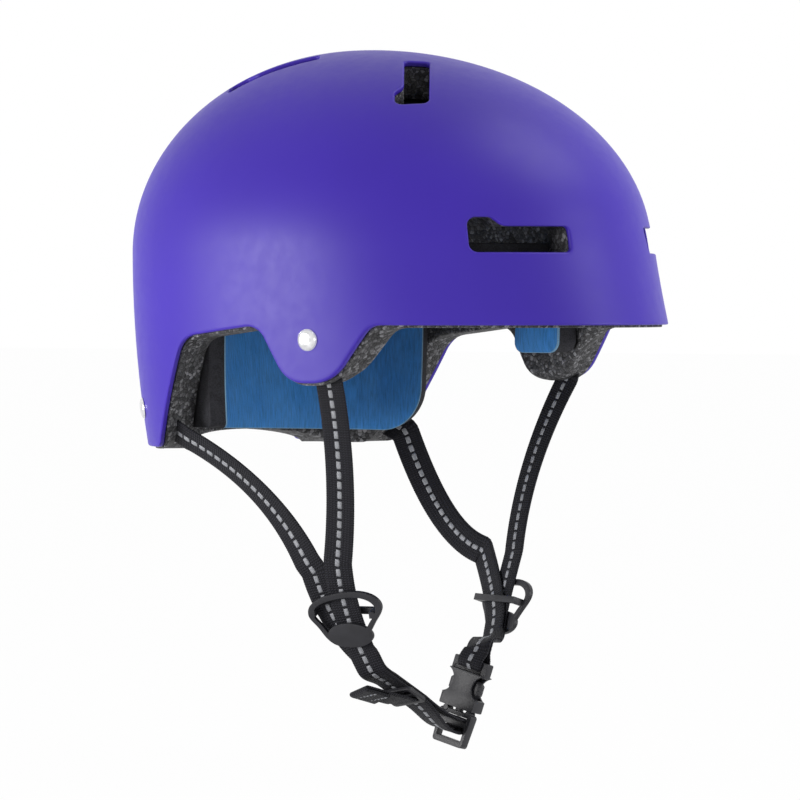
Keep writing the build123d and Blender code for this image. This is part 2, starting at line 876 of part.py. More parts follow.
def prong(side):
    """One sprung prong with its rounded thumb pad, on a round root."""
    bottom, shoulder, bar = base_levels()
    outer = buckle_width / 2 - sleeve_wall - moulded_gap
    root = Pos(side * prong_pivot_side, shoulder) * Circle(prong_pivot_radius)
    start = shoulder + moulded_gap
    tip = start + prong_length
    pad_start = tip - prong_pad_length
    pad_in = outer - prong_pad_depth
    half = prong_width * prong_root_share
    arm = make_face(
        Polyline(
            (side * (prong_pivot_side - half), shoulder),
            (side * (prong_pivot_side + half), shoulder),
            (side * (pad_in + half), pad_start),
            (side * outer, pad_start + prong_pad_length * pad_start_share),
            (side * outer, tip - prong_pad_length * pad_end_share),
            (side * (pad_in + half), tip),
            (side * pad_in, tip - prong_pad_length * pad_tip_share),
            (side * pad_in, pad_start),
            close=True,
        )
    )
    body = extrude(arm, amount=prong_thickness / 2, both=True)
    body = body + extrude(root, amount=base_thickness / 2, both=True)
    return buckle_frame() * body


def bar_loop(centre_y, bar_size):
    """Webbing wrapped round a bar of the buckle, in the buckle's own axes."""
    inner = bar_size / 2 + moulded_gap
    outer = inner + web_thickness
    depth_inner = base_thickness / 2 + moulded_gap
    depth_outer = depth_inner + web_thickness
    ring_outer = Rectangle(2 * outer, 2 * depth_outer)
    ring_inner = Rectangle(2 * inner, 2 * depth_inner)
    ring_outer = fillet(ring_outer.vertices(), loop_corner)
    ring = ring_outer - ring_inner
    plane = Plane(origin=(-web_width / 2, centre_y, 0), x_dir=(0, 1, 0), z_dir=(1, 0, 0))
    return extrude(plane * ring, amount=web_width)


def left_chin_strap():
    """Doubled webbing from the left divider to the socket's bar, which it wraps."""
    frame = buckle_frame()
    bar_y = buckle_length / 2 - socket_bar / 2
    loop = frame * bar_loop(bar_y, socket_bar)
    meeting, fall = chin_start(1)
    start = meeting + fall * ply_gap
    first = start + fall * straight_leg
    rise = socket_bar / 2 + moulded_gap + web_thickness / 2
    end = on_plane(frame, 0, bar_y + rise, 0)
    last = end + frame.y_dir * straight_leg
    span = (last - first).length
    lead = first + fall * span * left_chin_lead_share
    follow = last + frame.y_dir * span * left_chin_follow_share
    route = double_bend(first, lead, follow, last, 2 * route_steps + 1)
    outward = divider_plane(1).z_dir
    down = Vector(0, 0, -1)
    first_turn = blend_list(outward, down, route_steps + 1)
    second_turn = blend_list(down, frame.z_dir * -1, route_steps + 1)
    normals = [outward] + first_turn + second_turn[1:] + [second_turn[-1]]
    return ribbon([start] + route + [end], normals, web_width, 2 * web_thickness) + loop


def slide_place():
    """Middle of the three-bar slide, the strap's direction there and its face normal."""
    frame = buckle_frame()
    start, fall = chin_start(-1)
    start = start + fall * (ply_gap + straight_leg)
    bottom, shoulder, bar = base_levels()
    goal = on_plane(frame, 0, bar, slide_aim)
    direction = (goal - start).normalized()
    centre = start + (goal - start) * slide_share
    twist = radians(slide_twist)
    normal = divider_plane(-1).z_dir
    normal = (normal - direction * normal.dot(direction)).normalized()
    normal = normal * cos(twist) - normal.cross(direction) * sin(twist)
    return centre, direction, normal


def slide_plane():
    """Plane of the three-bar slide: X along the strap."""
    centre, direction, normal = slide_place()
    return Plane(origin=centre, x_dir=direction, z_dir=normal)


def right_chin_strap():
    """Doubled webbing from the right divider to just short of the three-bar slide."""
    centre, direction, normal = slide_place()
    meeting, fall = chin_start(-1)
    start = meeting + fall * ply_gap
    first = start + fall * straight_leg
    last = centre - direction * (slide_height / 2 + slide_travel)
    end = centre + direction * (slide_height / 2 + slide_bar - ply_gap)
    bend = (last - first).length / 3
    route = double_bend(first, first + fall * bend, last - direction * bend, last, route_steps)
    normals = blend_list(divider_plane(-1).z_dir, normal, route_steps)
    normals = [normals[0]] + normals + [normal]
    return ribbon([start] + route + [end], normals, web_width, 2 * web_thickness)


def three_bar_slide():
    """Flat three-bar slide that takes up the strap."""
    plate = RectangleRounded(slide_height, slide_width, slide_corner)
    window = Rectangle(slide_window, web_width + 2 * moulded_gap)
    offset_x = slide_bar / 2 + slide_window / 2
    plate = plate - Pos(offset_x, 0) * window - Pos(-offset_x, 0) * window
    level = web_thickness + moulded_gap
    body = extrude(Plane.XY.offset(level) * plate, amount=slide_thickness)
    return slide_plane() * body


def chin_loop():
    """Webbing between the slide and the plug's bar, which it wraps from the face side."""
    centre, direction, normal = slide_place()
    frame = buckle_frame()
    bottom, shoulder, bar = base_levels()
    start = centre + direction * (slide_height / 2 + slide_bar)
    first = start + direction * straight_leg
    loop = frame * bar_loop(bar, base_bar)
    depth = base_thickness / 2 + moulded_gap + web_thickness
    end = on_plane(frame, 0, bar, depth - web_thickness / 2)
    arrival = end + frame.z_dir * straight_leg
    bend = (arrival - first).length / 3
    lead = first + direction * bend
    follow = arrival + frame.z_dir * bend
    route = double_bend(first, lead, follow, arrival, route_steps + 2)
    down = frame.y_dir * -1
    normals = [normal] + blend_list(normal, down, route_steps + 2) + [down]
    return ribbon([start] + route + [end], normals, web_width, 2 * web_thickness) + loop


def strap_tail():
    """Stitched end of the webbing: it comes up through the slide, over its middle bar, and stands off."""
    plane = slide_plane()
    under = web_thickness + ply_gap + web_thickness / 2
    over = web_thickness + moulded_gap + slide_thickness + moulded_gap + web_thickness / 2
    slot = slide_bar / 2 + slide_window / 2
    away = (plane.x_dir * -1 + Vector(0, 0, -tail_fall_share)).normalized()
    knee = on_plane(plane, -slot, 0, over + web_thickness)
    middle = knee + away * tail_length
    points = [
        on_plane(plane, slot, 0, under),
        on_plane(plane, slot, 0, over - web_thickness),
        on_plane(plane, slot - web_thickness / 2, 0, over),
        on_plane(plane, 0, 0, over),
        knee,
        middle,
        middle + away * tail_fold,
    ]
    lift = (plane.z_dir - away * plane.z_dir.dot(away)).normalized()
    corner = (plane.x_dir + plane.z_dir).normalized()
    normals = [plane.x_dir, plane.x_dir, corner, plane.z_dir, lift, lift, lift]
    return ribbon(points, normals, web_width - moulded_gap, web_thickness)


os.makedirs("parts", exist_ok=True)

planes = rivet_planes()
nodes = {
    "outer_shell": shell(),
    "impact_liner": liner(),
    "brow_pad": brow_pad(),
    "crown_pad": crown_pad(),
    "right_temple_pad": temple_pad(-1),
    "left_temple_pad": temple_pad(1),
    "rear_pad": rear_pad(),
    "pad_hook_patches": Compound(children=hook_patches()),
    "strap_rivets": Compound(children=[rivet(plane) for plane in planes]),
    "rivet_washers": Compound(children=[washer(plane) for plane in planes]),
    "right_front_strap": strap(front_strap_route(-1), planes[0]),
    "right_rear_strap": strap(rear_strap_route(-1), planes[1]),
    "left_front_strap": strap(front_strap_route(1), planes[2]),
    "left_rear_strap": strap(rear_strap_route(1), planes[3]),
    "right_divider": divider(-1),
    "left_divider": divider(1),
    "right_divider_webbing": Compound(children=junction(-1)),
    "left_divider_webbing": Compound(children=junction(1)),
    "right_chin_strap": right_chin_strap(),
    "left_chin_strap": left_chin_strap(),
    "three_bar_slide": three_bar_slide(),
    "chin_loop": chin_loop(),
    "strap_tail": strap_tail(),
    "buckle_socket": socket(),
    "buckle_plug": plug_base(),
    "right_buckle_prong": prong(-1),
    "left_buckle_prong": prong(1),
}

for name, shape in nodes.items():
    export_step(shape, f"parts/{name}.step")
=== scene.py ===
from math import atan2, ceil, cos, pi, radians, sin, sqrt, tan

import bmesh
import bpy
import numpy as np
from bpy.props import FloatProperty, FloatVectorProperty, PointerProperty
from mathutils import Matrix, Vector
from mathutils.geometry import delaunay_2d_cdt
from mathutils.kdtree import KDTree
from mathutils.noise import noise as simple_noise


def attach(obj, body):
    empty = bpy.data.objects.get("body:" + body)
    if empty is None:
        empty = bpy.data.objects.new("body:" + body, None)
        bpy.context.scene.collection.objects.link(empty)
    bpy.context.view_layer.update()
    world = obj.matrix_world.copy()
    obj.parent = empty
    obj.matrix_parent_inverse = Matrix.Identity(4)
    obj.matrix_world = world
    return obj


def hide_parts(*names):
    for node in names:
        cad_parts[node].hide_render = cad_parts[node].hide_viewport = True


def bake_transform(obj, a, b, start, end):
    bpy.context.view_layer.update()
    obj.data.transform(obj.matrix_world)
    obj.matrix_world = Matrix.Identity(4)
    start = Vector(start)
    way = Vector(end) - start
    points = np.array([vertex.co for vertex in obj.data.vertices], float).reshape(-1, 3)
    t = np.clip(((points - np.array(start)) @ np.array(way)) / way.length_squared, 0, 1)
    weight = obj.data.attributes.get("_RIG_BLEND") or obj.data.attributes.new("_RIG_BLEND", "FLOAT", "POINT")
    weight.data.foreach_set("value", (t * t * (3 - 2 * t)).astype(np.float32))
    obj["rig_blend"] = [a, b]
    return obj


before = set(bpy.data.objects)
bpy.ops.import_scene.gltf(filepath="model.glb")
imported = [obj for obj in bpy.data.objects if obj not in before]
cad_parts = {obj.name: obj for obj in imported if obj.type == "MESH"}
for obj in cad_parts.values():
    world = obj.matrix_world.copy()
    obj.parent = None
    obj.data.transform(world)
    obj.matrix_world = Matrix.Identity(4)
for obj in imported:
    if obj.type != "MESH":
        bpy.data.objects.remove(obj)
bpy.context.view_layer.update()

bl_info = {
    "name": "Skate Helmet Builder",
    "version": (1, 0, 0),
    "blender": (4, 5, 0),
    "location": "3D Viewport > Sidebar > Helmet",
    "description": "Builds a hard-shell skate helmet with its liner, pads, webbing and buckle",
    "category": "Add Mesh",
}

# Lengths are in millimetres until a mesh is made. The front faces -Y, the wearer's left is +X.
MM = 0.001
HALF_WIDTH = 112.0
FRONT_LENGTH = 157.6
REAR_LENGTH = 112.8
WIDEST_Y = 20.3
WAIST_Z = 36.2
DOME_RISE = 102.4
TOP_Y = -12.0
SIDE_TUCK = 7.5
REAR_TUCK = 10.0
AXIS_POINT = np.array((0.0, WIDEST_Y, 0.0))
TUCK_SCALE = 100.0
FLARE_TOP, FLARE_REACH = 51.0, 13.0
CORNER_SWELL = 0.031

# Lower edge in the side view: place forward, height, and rounding radius at each corner
EDGE_CORNERS = (
    (300.0, 0.0, 0.0),
    (62.0, 0.0, 9.0),
    (41.8, -28.3, 22.0),
    (16.5, -28.3, 16.0),
    (1.0, 0.0, 11.0),
    (-50.0, -6.0, 17.0),
    (-77.0, -61.5, 5.0),
    (-300.0, -61.5, 0.0),
)
NAPE_HALF_WIDTH = 54.0
NAPE_RISE = 8.0

# Vent outline: x along the vent from its outer end, y across it, rounding radius at each corner
VENT_CORNERS = (
    (-24.5, -6.25, 4.0),
    (24.5, -6.25, 2.4),
    (24.5, 6.25, 2.4),
    (-8.5, 6.25, 5.0),
    (-13.5, 10.65, 4.0),
    (-24.5, 10.65, 4.4),
)
SLOT_HEIGHT = 41.5
DIVIDER_PLACE = (61.5, -16.3, -143.4)
BUCKLE_PLACE = (12.4, -31.1, -190.3)
SOCKET_BAR_Y = 20.95
PLUG_BAR_Y = -10.65
PLY_STEP = 1.7
WEB_DEPTH = 4.7
FRONT_RIVET = (30.0, -7.2)
REAR_RIVET = (-97.0, -42.4)
DIVIDER_REACH = 24.5
SLIDE_REACH = 9.3
ANCHOR_REACH = 8.0
# How far outside a fitting the free webbing starts
CLEARANCE = 3.3
VENTS = (
    ("slot", 20.5, 0.0),
    ("slot", 157.0, 0.0),
    ("top", 51.0, 53.5),
    ("top", 141.0, 73.0),
)
# The lower edge, and every vent on both sides
OPENINGS = 1 + 2 * len(VENTS)
# Each strap: its rivet, where it leaves the shell on the left, its ply, and for each side how
# its middle is pulled: share of the way down, shift backwards and rise
STRAPS = {
    "front": (FRONT_RIVET, (96.0, -35.0, -27.0), 1, {1: (0.5, 12.0, 0.0), -1: (0.5, -8.0, 0.0)}),
    "rear": (REAR_RIVET, (86.0, 66.0, -57.0), -1, {1: (0.7, 12.0, -12.0), -1: (0.55, -11.0, 11.0)}),
}


# Settings

def millimetres(name, description, default, least=0.0):
    """Setting in millimetres."""
    return FloatProperty(name=name, description=description + " in millimetres", default=default, min=least)


def colour_of(name, description, default):
    """Colour setting."""
    return FloatVectorProperty(
        name=name, description=description, size=3, subtype="COLOR", default=default, min=0, max=1)


# Dome surface

def dome_radius(angle, z, inset):
    """Distance from the dome's upright axis to a nested surface; angle is zero at the front."""
    rise = np.clip((z - WAIST_Z) / (DOME_RISE - inset), 0, 1)
    drop = np.maximum(WAIST_Z - z, 0) / TUCK_SCALE
    share = np.sqrt(1 - rise**2)
    side = (HALF_WIDTH - inset) * share - SIDE_TUCK * drop**2
    front = (FRONT_LENGTH - inset) * share
    rear = (REAR_LENGTH - inset) * share - REAR_TUCK * drop**2
    ahead = np.maximum(0, np.cos(angle))
    flare = np.maximum(0, (FLARE_TOP - z) / FLARE_TOP) ** 1.3 * ahead**1.5
    length = rear + (front - rear) * (1 + np.cos(angle)) / 2 + FLARE_REACH * flare
    side = np.maximum(side, 1e-6)
    length = np.maximum(length, 1e-6)
    oval = 1 / np.sqrt((np.sin(angle) / side) ** 2 + (np.cos(angle) / length) ** 2)
    return oval * (1 + CORNER_SWELL * np.sin(2 * angle) ** 2)


def is_outside(points, inset):
    """True where points lie outside a nested surface."""
    offset = WIDEST_Y - points[:, 1]
    angle = np.arctan2(points[:, 0], offset)
    outside = np.hypot(points[:, 0], offset) > dome_radius(angle, points[:, 2], inset)
    return outside | (points[:, 2] > WAIST_Z + DOME_RISE - inset)


def along_rays(starts, directions, inset, reach=320.0):
    """Places where rays from inside leave a nested surface."""
    low = np.zeros(len(starts))
    high = np.full(len(starts), reach)
    for _ in range(46):
        middle = (low + high) / 2
        outside = is_outside(starts + directions * middle[:, None], inset)
        high = np.where(outside, middle, high)
        low = np.where(outside, low, middle)
    return starts + directions * low[:, None]


def unit(vectors):
    """Vectors at length one."""
    return vectors / np.maximum(np.linalg.norm(vectors, axis=-1, keepdims=True), 1e-12)


def dome_normals(points, inset):
    """Outward normals of a nested surface at points near it."""
    directions = unit(points - AXIS_POINT)
    upright = np.where(np.abs(directions[:, 2:3]) > 0.9, (1.0, 0.0, 0.0), (0.0, 0.0, 1.0))
    across = unit(np.cross(directions, upright))
    along = np.cross(directions, across)
    starts = np.repeat(AXIS_POINT[None], len(points), 0)
    sides = []
    for axis in (across, along):
        pair = [along_rays(starts, unit(directions + axis * spread), inset) for spread in (-0.012, 0.012)]
        sides.append(pair[1] - pair[0])
    normals = unit(np.cross(sides[0], sides[1]))
    facing = np.sum(normals * directions, axis=1, keepdims=True)
    return np.where(facing > 0, normals, -normals)


def side_points(angles, heights, inset):
    """Points of a nested surface at angles from the front (radians) and heights."""
    radius = dome_radius(angles, heights, inset)
    return np.stack((radius * np.sin(angles), WIDEST_Y - radius * np.cos(angles), heights), -1)


def top_points(x, y, inset):
    """Points of a nested surface above places in plan."""
    x, y = np.broadcast_arrays(np.asarray(x, float), np.asarray(y, float))
    starts = np.stack((x.ravel(), y.ravel(), np.full(x.size, -31.0)), -1)
    up = np.repeat(np.array([[0.0, 0.0, 1.0]]), x.size, 0)
    return along_rays(starts, up, inset).reshape(x.shape + (3,))


def top_points_at(x, y, insets):
    """Points above places in plan, each on its own nested surface."""
    low, high = insets.min(), insets.max()
    lower = top_points(x, y, low)
    if high - low < 1e-6:
        return lower
    upper = top_points(x, y, high)
    share = ((insets - low) / (high - low))[:, None]
    return lower * (1 - share) + upper * share


def to_chart(points):
    """Angle-true flat map of directions from the dome's middle."""
    directions = unit(points - AXIS_POINT)
    scale = 100.0 / (1 + directions[:, 2])
    return directions[:, :2] * scale[:, None]


# Outlines

def rounded(corners, closed, step=0.6):
    """Line through corners with each rounded by its own radius."""
    corners = [np.array(corner, float) for corner in corners]
    count = len(corners)
    line = []
    for index, corner in enumerate(corners):
        here, radius = corner[:2], corner[2]
        before = corners[index - 1][:2]
        after = corners[(index + 1) % count][:2]
        if radius == 0 or (not closed and index in (0, count - 1)):
            line.append(here)
            continue
        arriving = unit(here - before)
        leaving = unit(after - here)
        turn = np.arctan2(arriving[0] * leaving[1] - arriving[1] * leaving[0], np.dot(arriving, leaving))
        reach = radius * tan(abs(turn) / 2)
        start = here - arriving * reach
        side = np.array((-arriving[1], arriving[0])) * np.sign(turn)
        centre = start + side * radius
        pieces = max(2, ceil(abs(turn) * radius / step))
        for piece in range(pieces + 1):
            spin = turn * piece / pieces
            spoke = -side * radius
            line.append(centre + np.array((
                spoke[0] * cos(spin) - spoke[1] * sin(spin),
                spoke[0] * sin(spin) + spoke[1] * cos(spin),
            )))
    return np.array(line)


def lengths_along(line):
    """Distance travelled at each point of a line."""
    return np.concatenate(((0,), np.cumsum(np.linalg.norm(np.diff(line, axis=0), axis=1))))


def evenly(line, step, closed):
    """Line resampled at even steps."""
    line = np.asarray(line, float)
    if closed:
        line = np.vstack((line, line[:1]))
    lengths = lengths_along(line)
    count = max(8, int(round(lengths[-1] / step)))
    places = np.linspace(0, lengths[-1], count + 1)
    if closed:
        places = places[:-1]
    return np.stack([np.interp(places, lengths, line[:, axis]) for axis in range(line.shape[1])], -1)


EDGE_LINE = rounded(EDGE_CORNERS, False)


def edge_height(points, reveal):
    """Height of the lower edge at points of a surface."""
    order = np.argsort(-EDGE_LINE[:, 0])
    height = np.interp(points[:, 1], -EDGE_LINE[order, 0], EDGE_LINE[order, 1])
    arch = np.sqrt(np.maximum(0, 1 - (points[:, 0] / NAPE_HALF_WIDTH) ** 2)) * NAPE_RISE + EDGE_CORNERS[-1][1]
    height = np.where(points[:, 1] > WIDEST_Y, np.maximum(height, arch), height)
    return height - reveal


def edge_angles(step):
    """Angles about the upright axis that are evenly spaced along the shell's lower edge."""
    angles = np.linspace(0, 2 * pi, 6001)[:-1]
    line = edge_points(angles, 0, 0)
    lengths = lengths_along(np.vstack((line, line[:1])))
    count = int(round(lengths[-1] / step))
    places = np.linspace(0, lengths[-1], count + 1)[:-1]
    return np.interp(places, lengths, np.append(angles, 2 * pi))


def edge_points(angles, inset, reveal):
    """Lower edge of a nested surface at angles about the upright axis."""
    low = np.full(len(angles), -90.0)
    high = np.full(len(angles), 30.0)
    for _ in range(40):
        middle = (low + high) / 2
        points = side_points(angles, middle, inset)
        under = middle < edge_height(points, reveal)
        low = np.where(under, middle, low)
        high = np.where(under, high, middle)
    return side_points(angles, (low + high) / 2, inset)


def vent_frame(kind, angle, reach, side):
    """Origin and axes of a vent: X along it from the outer end, Y across, Z out."""
    turn = radians(side * angle)
    outward = np.array((sin(turn), -cos(turn), 0.0))
    if kind == "slot":
        origin = side_points(np.array([turn]), np.array([SLOT_HEIGHT]), 0)[0]
        along = np.array((-outward[1], outward[0], 0.0)) * (-1 if angle < 90 else 1) * side
        across = np.cross(outward, along)
        if across[2] < 0:
            across = -across
        return origin, along, across, outward
    origin = top_points(outward[0] * reach, TOP_Y + outward[1] * reach, 0).reshape(3)
    normal = dome_normals(origin[None], 0)[0]
    along = unit(-outward + normal * np.dot(outward, normal))
    across = np.cross(normal, along)
    if across[1] < 0:
        across = -across
    return origin, along, across, normal


def vent_points(vent, side, outline, inset):
    """Vent outline dropped onto a nested surface along the vent's own Z axis."""
    origin, along, across, outward = vent_frame(*vent, side)
    flat = origin + outline[:, :1] * along + outline[:, 1:2] * across
    deep = flat - outward * 55.0
    return along_rays(deep, np.repeat(outward[None], len(flat), 0), inset, 110.0)


def all_loops(inset, reveal, edge_step, vent_step):
    """Boundary loops of a nested surface: the lower edge first, then the vents."""
    loops = [edge_points(edge_angles(edge_step), inset, reveal)]
    outline = evenly(rounded(VENT_CORNERS, True), vent_step, True)
    for vent in VENTS:
        for side in (-1, 1):
            loops.append(vent_points(vent, side, outline, inset))
    return loops


# Skins

def chart_area(loop):
    """Twice the signed area of a loop in the flat map."""
    chart = to_chart(loop)
    return np.sum(chart[:, 0] * np.roll(chart[:, 1], -1) - np.roll(chart[:, 0], -1) * chart[:, 1])


def into_material(loop, normals, distance, hole):
    """Loop moved along the surface into the material."""
    tangents = unit(np.roll(loop, -1, 0) - np.roll(loop, 1, 0))
    sense = np.sign(chart_area(loop)) * (-1 if hole else 1)
    return loop + np.cross(normals, tangents) * np.reshape(distance, (-1, 1)) * sense


def in_polygon(points, polygon):
    """True for flat points inside a polygon."""
    x, y = points[:, 0], points[:, 1]
    inside = np.zeros(len(points), bool)
    previous = polygon[-1]
    for corner in polygon:
        crosses = (corner[1] > y) != (previous[1] > y)
        rise = previous[1] - corner[1]
        level = corner[0] + (previous[0] - corner[0]) * (y - corner[1]) / (rise if rise else 1e-12)
        inside ^= crosses & (x < level)
        previous = corner
    return inside


def in_outlines(points, outlines):
    """True for flat points inside the first outline and outside the others."""
    inside = in_polygon(points, outlines[0])
    for outline in outlines[1:]:
        inside &= ~in_polygon(points, outline)
    return inside


def triangulated(flat, edges, outlines):
    """Triangles of flat points inside the first outline and outside the others."""
    result = delaunay_2d_cdt([Vector(point) for point in flat], edges, [], 0, 1e-7)
    sources = [source[0] if source else None for source in result[3]]
    faces = [[sources[corner] for corner in face] for face in result[2]]
    faces = [face for face in faces if None not in face]
    keep = in_outlines(np.array([flat[face].mean(0) for face in faces]), outlines)
    return [face for face, kept in zip(faces, keep) if kept]


def ring_edges(first, count):
    """Edges of a closed ring of points."""
    return [(first + i, first + (i + 1) % count) for i in range(count)]


def dome_rays(spacing):
    """Directions spread evenly over the dome, from its top to below its edge."""
    widest_tilt, reach, size = 2.2, 125, 120
    row_count = int(widest_tilt * reach / spacing)
    rows = []
    for row in range(row_count + 1):
        tilt = widest_tilt * row / row_count
        count = max(1, int(2 * pi * size * sin(min(tilt, pi / 2)) / spacing))
        turn = (np.arange(count) + 0.5 * (row % 2)) * 2 * pi / count
        flat = np.stack((np.sin(turn), -np.cos(turn)), -1) * sin(tilt)
        rows.append(np.hstack((flat, np.full((count, 1), cos(tilt)))))
    return np.concatenate(rows)


def from_axis(directions, inset):
    """Points of a nested surface in given directions from the dome's middle."""
    return along_rays(np.repeat(AXIS_POINT[None], len(directions), 0), directions, inset)


def skin(loops, rims, inset, spacing, guard):
    """Triangles of a nested surface inside its loops; the loops stand back by their rim radii."""
    edges, vertices, starts, outlines = [], [], [], []
    for index, loop in enumerate(loops):
        normals = dome_normals(loop, inset)
        for extra in (0.0, guard):
            ring = into_material(loop, normals, rims[index] + extra, index > 0)
            ring = from_axis(unit(ring - AXIS_POINT), inset)
            if extra == 0.0:
                starts.append((len(vertices), len(ring)))
                outlines.append(to_chart(ring))
            edges += ring_edges(len(vertices), len(ring))
            vertices.extend(ring)
    inner = from_axis(dome_rays(spacing), inset)
    keep = in_outlines(to_chart(inner), outlines)
    tree = KDTree(len(vertices))
    for index, vertex in enumerate(vertices):
        tree.insert(vertex, index)
    tree.balance()
    least_gap = spacing * 0.62
    inner = [point for point in inner[keep] if tree.find(point)[2] > least_gap]
    everything = np.array(vertices + inner)
    flat = to_chart(everything)
    chosen = []
    for face in triangulated(flat, edges, outlines):
        a, b, c = flat[face]
        turn = (b[0] - a[0]) * (c[1] - a[1]) - (b[1] - a[1]) * (c[0] - a[0])
        chosen.append(face if turn > 0 else face[::-1])
    return everything, chosen, starts


def rim_rings(outer, inner, outer_set, inner_set, steps, middle_steps):
    """Rings of a rounded rim from an outer skin's loop round to an inner skin's loop."""
    rings = []
    through = inner - outer
    depth = np.linalg.norm(through, axis=1, keepdims=True)
    through = through / depth
    outer_radius = np.linalg.norm(outer_set - outer, axis=1, keepdims=True)
    inner_radius = np.linalg.norm(inner_set - inner, axis=1, keepdims=True)
    start = outer + through * np.minimum(outer_radius, depth * 0.45)
    finish = inner - through * np.minimum(inner_radius, depth * 0.45)
    for step in range(1, steps + 1):
        t = step / steps
        rings.append(outer_set * (1 - t) ** 2 + outer * 2 * t * (1 - t) + start * t**2)
    for step in range(1, middle_steps):
        t = step / middle_steps
        rings.append(start * (1 - t) + finish * t)
    for step in range(0, steps):
        t = step / steps
        rings.append(finish * (1 - t) ** 2 + inner * 2 * t * (1 - t) + inner_set * t**2)
    return rings


def walled_body(insets, reveal, spacing, rims, steps_along, rim_steps):
    """Closed wall between two nested surfaces with rounded rims round every opening."""
    guard = 0.9
    loops = [all_loops(inset, reveal, *steps_along) for inset in insets]
    points_out, faces_out, starts_out = skin(loops[0], rims[0], insets[0], spacing, guard)
    points_in, faces_in, starts_in = skin(loops[1], rims[1], insets[1], spacing, guard)
    shift = len(points_out)
    points = [points_out, points_in]
    faces = [list(face) for face in faces_out]
    faces += [[corner + shift for corner in face[::-1]] for face in faces_in]
    total = shift + len(points_in)
    for index, (outer, inner) in enumerate(zip(*loops)):
        first_out, count = starts_out[index]
        first_in = starts_in[index][0]
        outer_set = points_out[first_out:first_out + count]
        inner_set = points_in[first_in:first_in + count]
        chain = [np.arange(count) + first_out]
        for ring in rim_rings(outer, inner, outer_set, inner_set, *rim_steps):
            points.append(ring)
            chain.append(np.arange(count) + total)
            total += count
        chain.append(np.arange(count) + first_in + shift)
        flip = (chart_area(outer) > 0) == (index > 0)
        for upper, lower in zip(chain, chain[1:]):
            for i, j in ring_edges(0, count):
                quad = [upper[i], upper[j], lower[j], lower[i]]
                faces.append(quad if flip else quad[::-1])
    return np.concatenate(points), faces


# Objects

def in_metres(points):
    """Points in millimetres as tuples in metres."""
    return [tuple(float(v) * MM for v in point) for point in points]


def linked(name, data):
    """Object of the given data, put into the scene."""
    obj = bpy.data.objects.new(name, data)
    bpy.context.scene.collection.objects.link(obj)
    return obj


def smooth(mesh, sharp_angle=None):
    """Smooth shading, with edges above an angle in degrees kept sharp."""
    mesh.polygons.foreach_set("use_smooth", [True] * len(mesh.polygons))
    if sharp_angle:
        mesh.set_sharp_from_angle(angle=radians(sharp_angle))


def make_object(name, points, faces, material):
    """Mesh object at the origin from points in millimetres."""
    mesh = bpy.data.meshes.new(name)
    mesh.from_pydata(in_metres(points), [], [list(map(int, face)) for face in faces])
    mesh.validate()
    mesh.materials.append(material)
    smooth(mesh)
    return linked(name, mesh)


# Materials

def new_material(name):
    """Empty node material with its shader and output."""
    material = bpy.data.materials.new(name)
    material.use_nodes = True
    tree = material.node_tree
    shader = next(node for node in tree.nodes if node.type == "BSDF_PRINCIPLED")
    return material, tree, shader


def add(tree, kind, values=(), **settings):
    """Shader node with its settings and input values."""
    node = tree.nodes.new(kind)
    for key, value in settings.items():
        setattr(node, key, value)
    for key, value in dict(values).items():
        node.inputs[key].default_value = value
    return node


def wire(tree, source, target):
    """Link between two sockets."""
    tree.links.new(source, target)


def ramp(tree, factor, stops):
    """Colour ramp on a factor, with stops of place and colour or grey value."""
    node = add(tree, "ShaderNodeValToRGB")
    elements = node.color_ramp.elements
    while len(elements) < len(stops):
        elements.new(0.5)
    for element, (place, colour) in zip(elements, stops):
        element.position = place
        element.color = (colour, colour, colour, 1) if isinstance(colour, float) else (*colour, 1)
    wire(tree, factor, node.inputs["Fac"])
    return node.outputs["Color"]


def noise(tree, vector, scale, detail=2.0, roughness=0.5):
    """Noise value at a scale per metre."""
    node = add(tree, "ShaderNodeTexNoise", {"Scale": scale, "Detail": detail, "Roughness": roughness})
    wire(tree, vector, node.inputs["Vector"])
    return node.outputs["Fac"]


def maths(tree, operation, first, second=0.5):
    """Maths node on two values or sockets."""
    node = add(tree, "ShaderNodeMath", operation=operation)
    for index, value in enumerate((first, second)):
        if isinstance(value, (int, float)):
            node.inputs[index].default_value = value
        else:
            wire(tree, value, node.inputs[index])
    return node.outputs[0]


def mixed_colours(tree, factor, first, second, mode="MIX"):
    """Mix of two colours or sockets."""
    node = add(tree, "ShaderNodeMix", data_type="RGBA", blend_type=mode)
    for key, value in ((0, factor), (6, first), (7, second)):
        if isinstance(value, float):
            node.inputs[key].default_value = value
        elif isinstance(value, tuple):
            node.inputs[key].default_value = (*value, 1)
        else:
            wire(tree, value, node.inputs[key])
    return node.outputs[2]


def shade(colour, share):
    """Colour made darker or lighter by a share."""
    return tuple(min(1.0, channel * share) for channel in colour)


def voronoi(tree, vector, scale, **settings):
    """Cell texture at a scale per metre."""
    node = add(tree, "ShaderNodeTexVoronoi", {"Scale": scale, "Randomness": 1.0}, **settings)
    wire(tree, vector, node.inputs["Vector"])
    return node


def flat_place(tree):
    """Flat map of a strap or pad, in metres."""
    return add(tree, "ShaderNodeUVMap", uv_map="UVMap").outputs["UV"]


def set_surface(shader, values):
    """Constant surface values straight on the shader's sockets."""
    for key, value in values.items():
        shader.inputs[key].default_value = value


def bump(tree, height, shader, strength, distance):
    """Bump on a shader from a height value."""
    node = add(tree, "ShaderNodeBump", {"Strength": strength, "Distance": distance})
    wire(tree, height, node.inputs["Height"])
    wire(tree, node.outputs["Normal"], shader.inputs["Normal"])


def object_place(tree):
    """Object coordinates."""
    return add(tree, "ShaderNodeTexCoord").outputs["Object"]


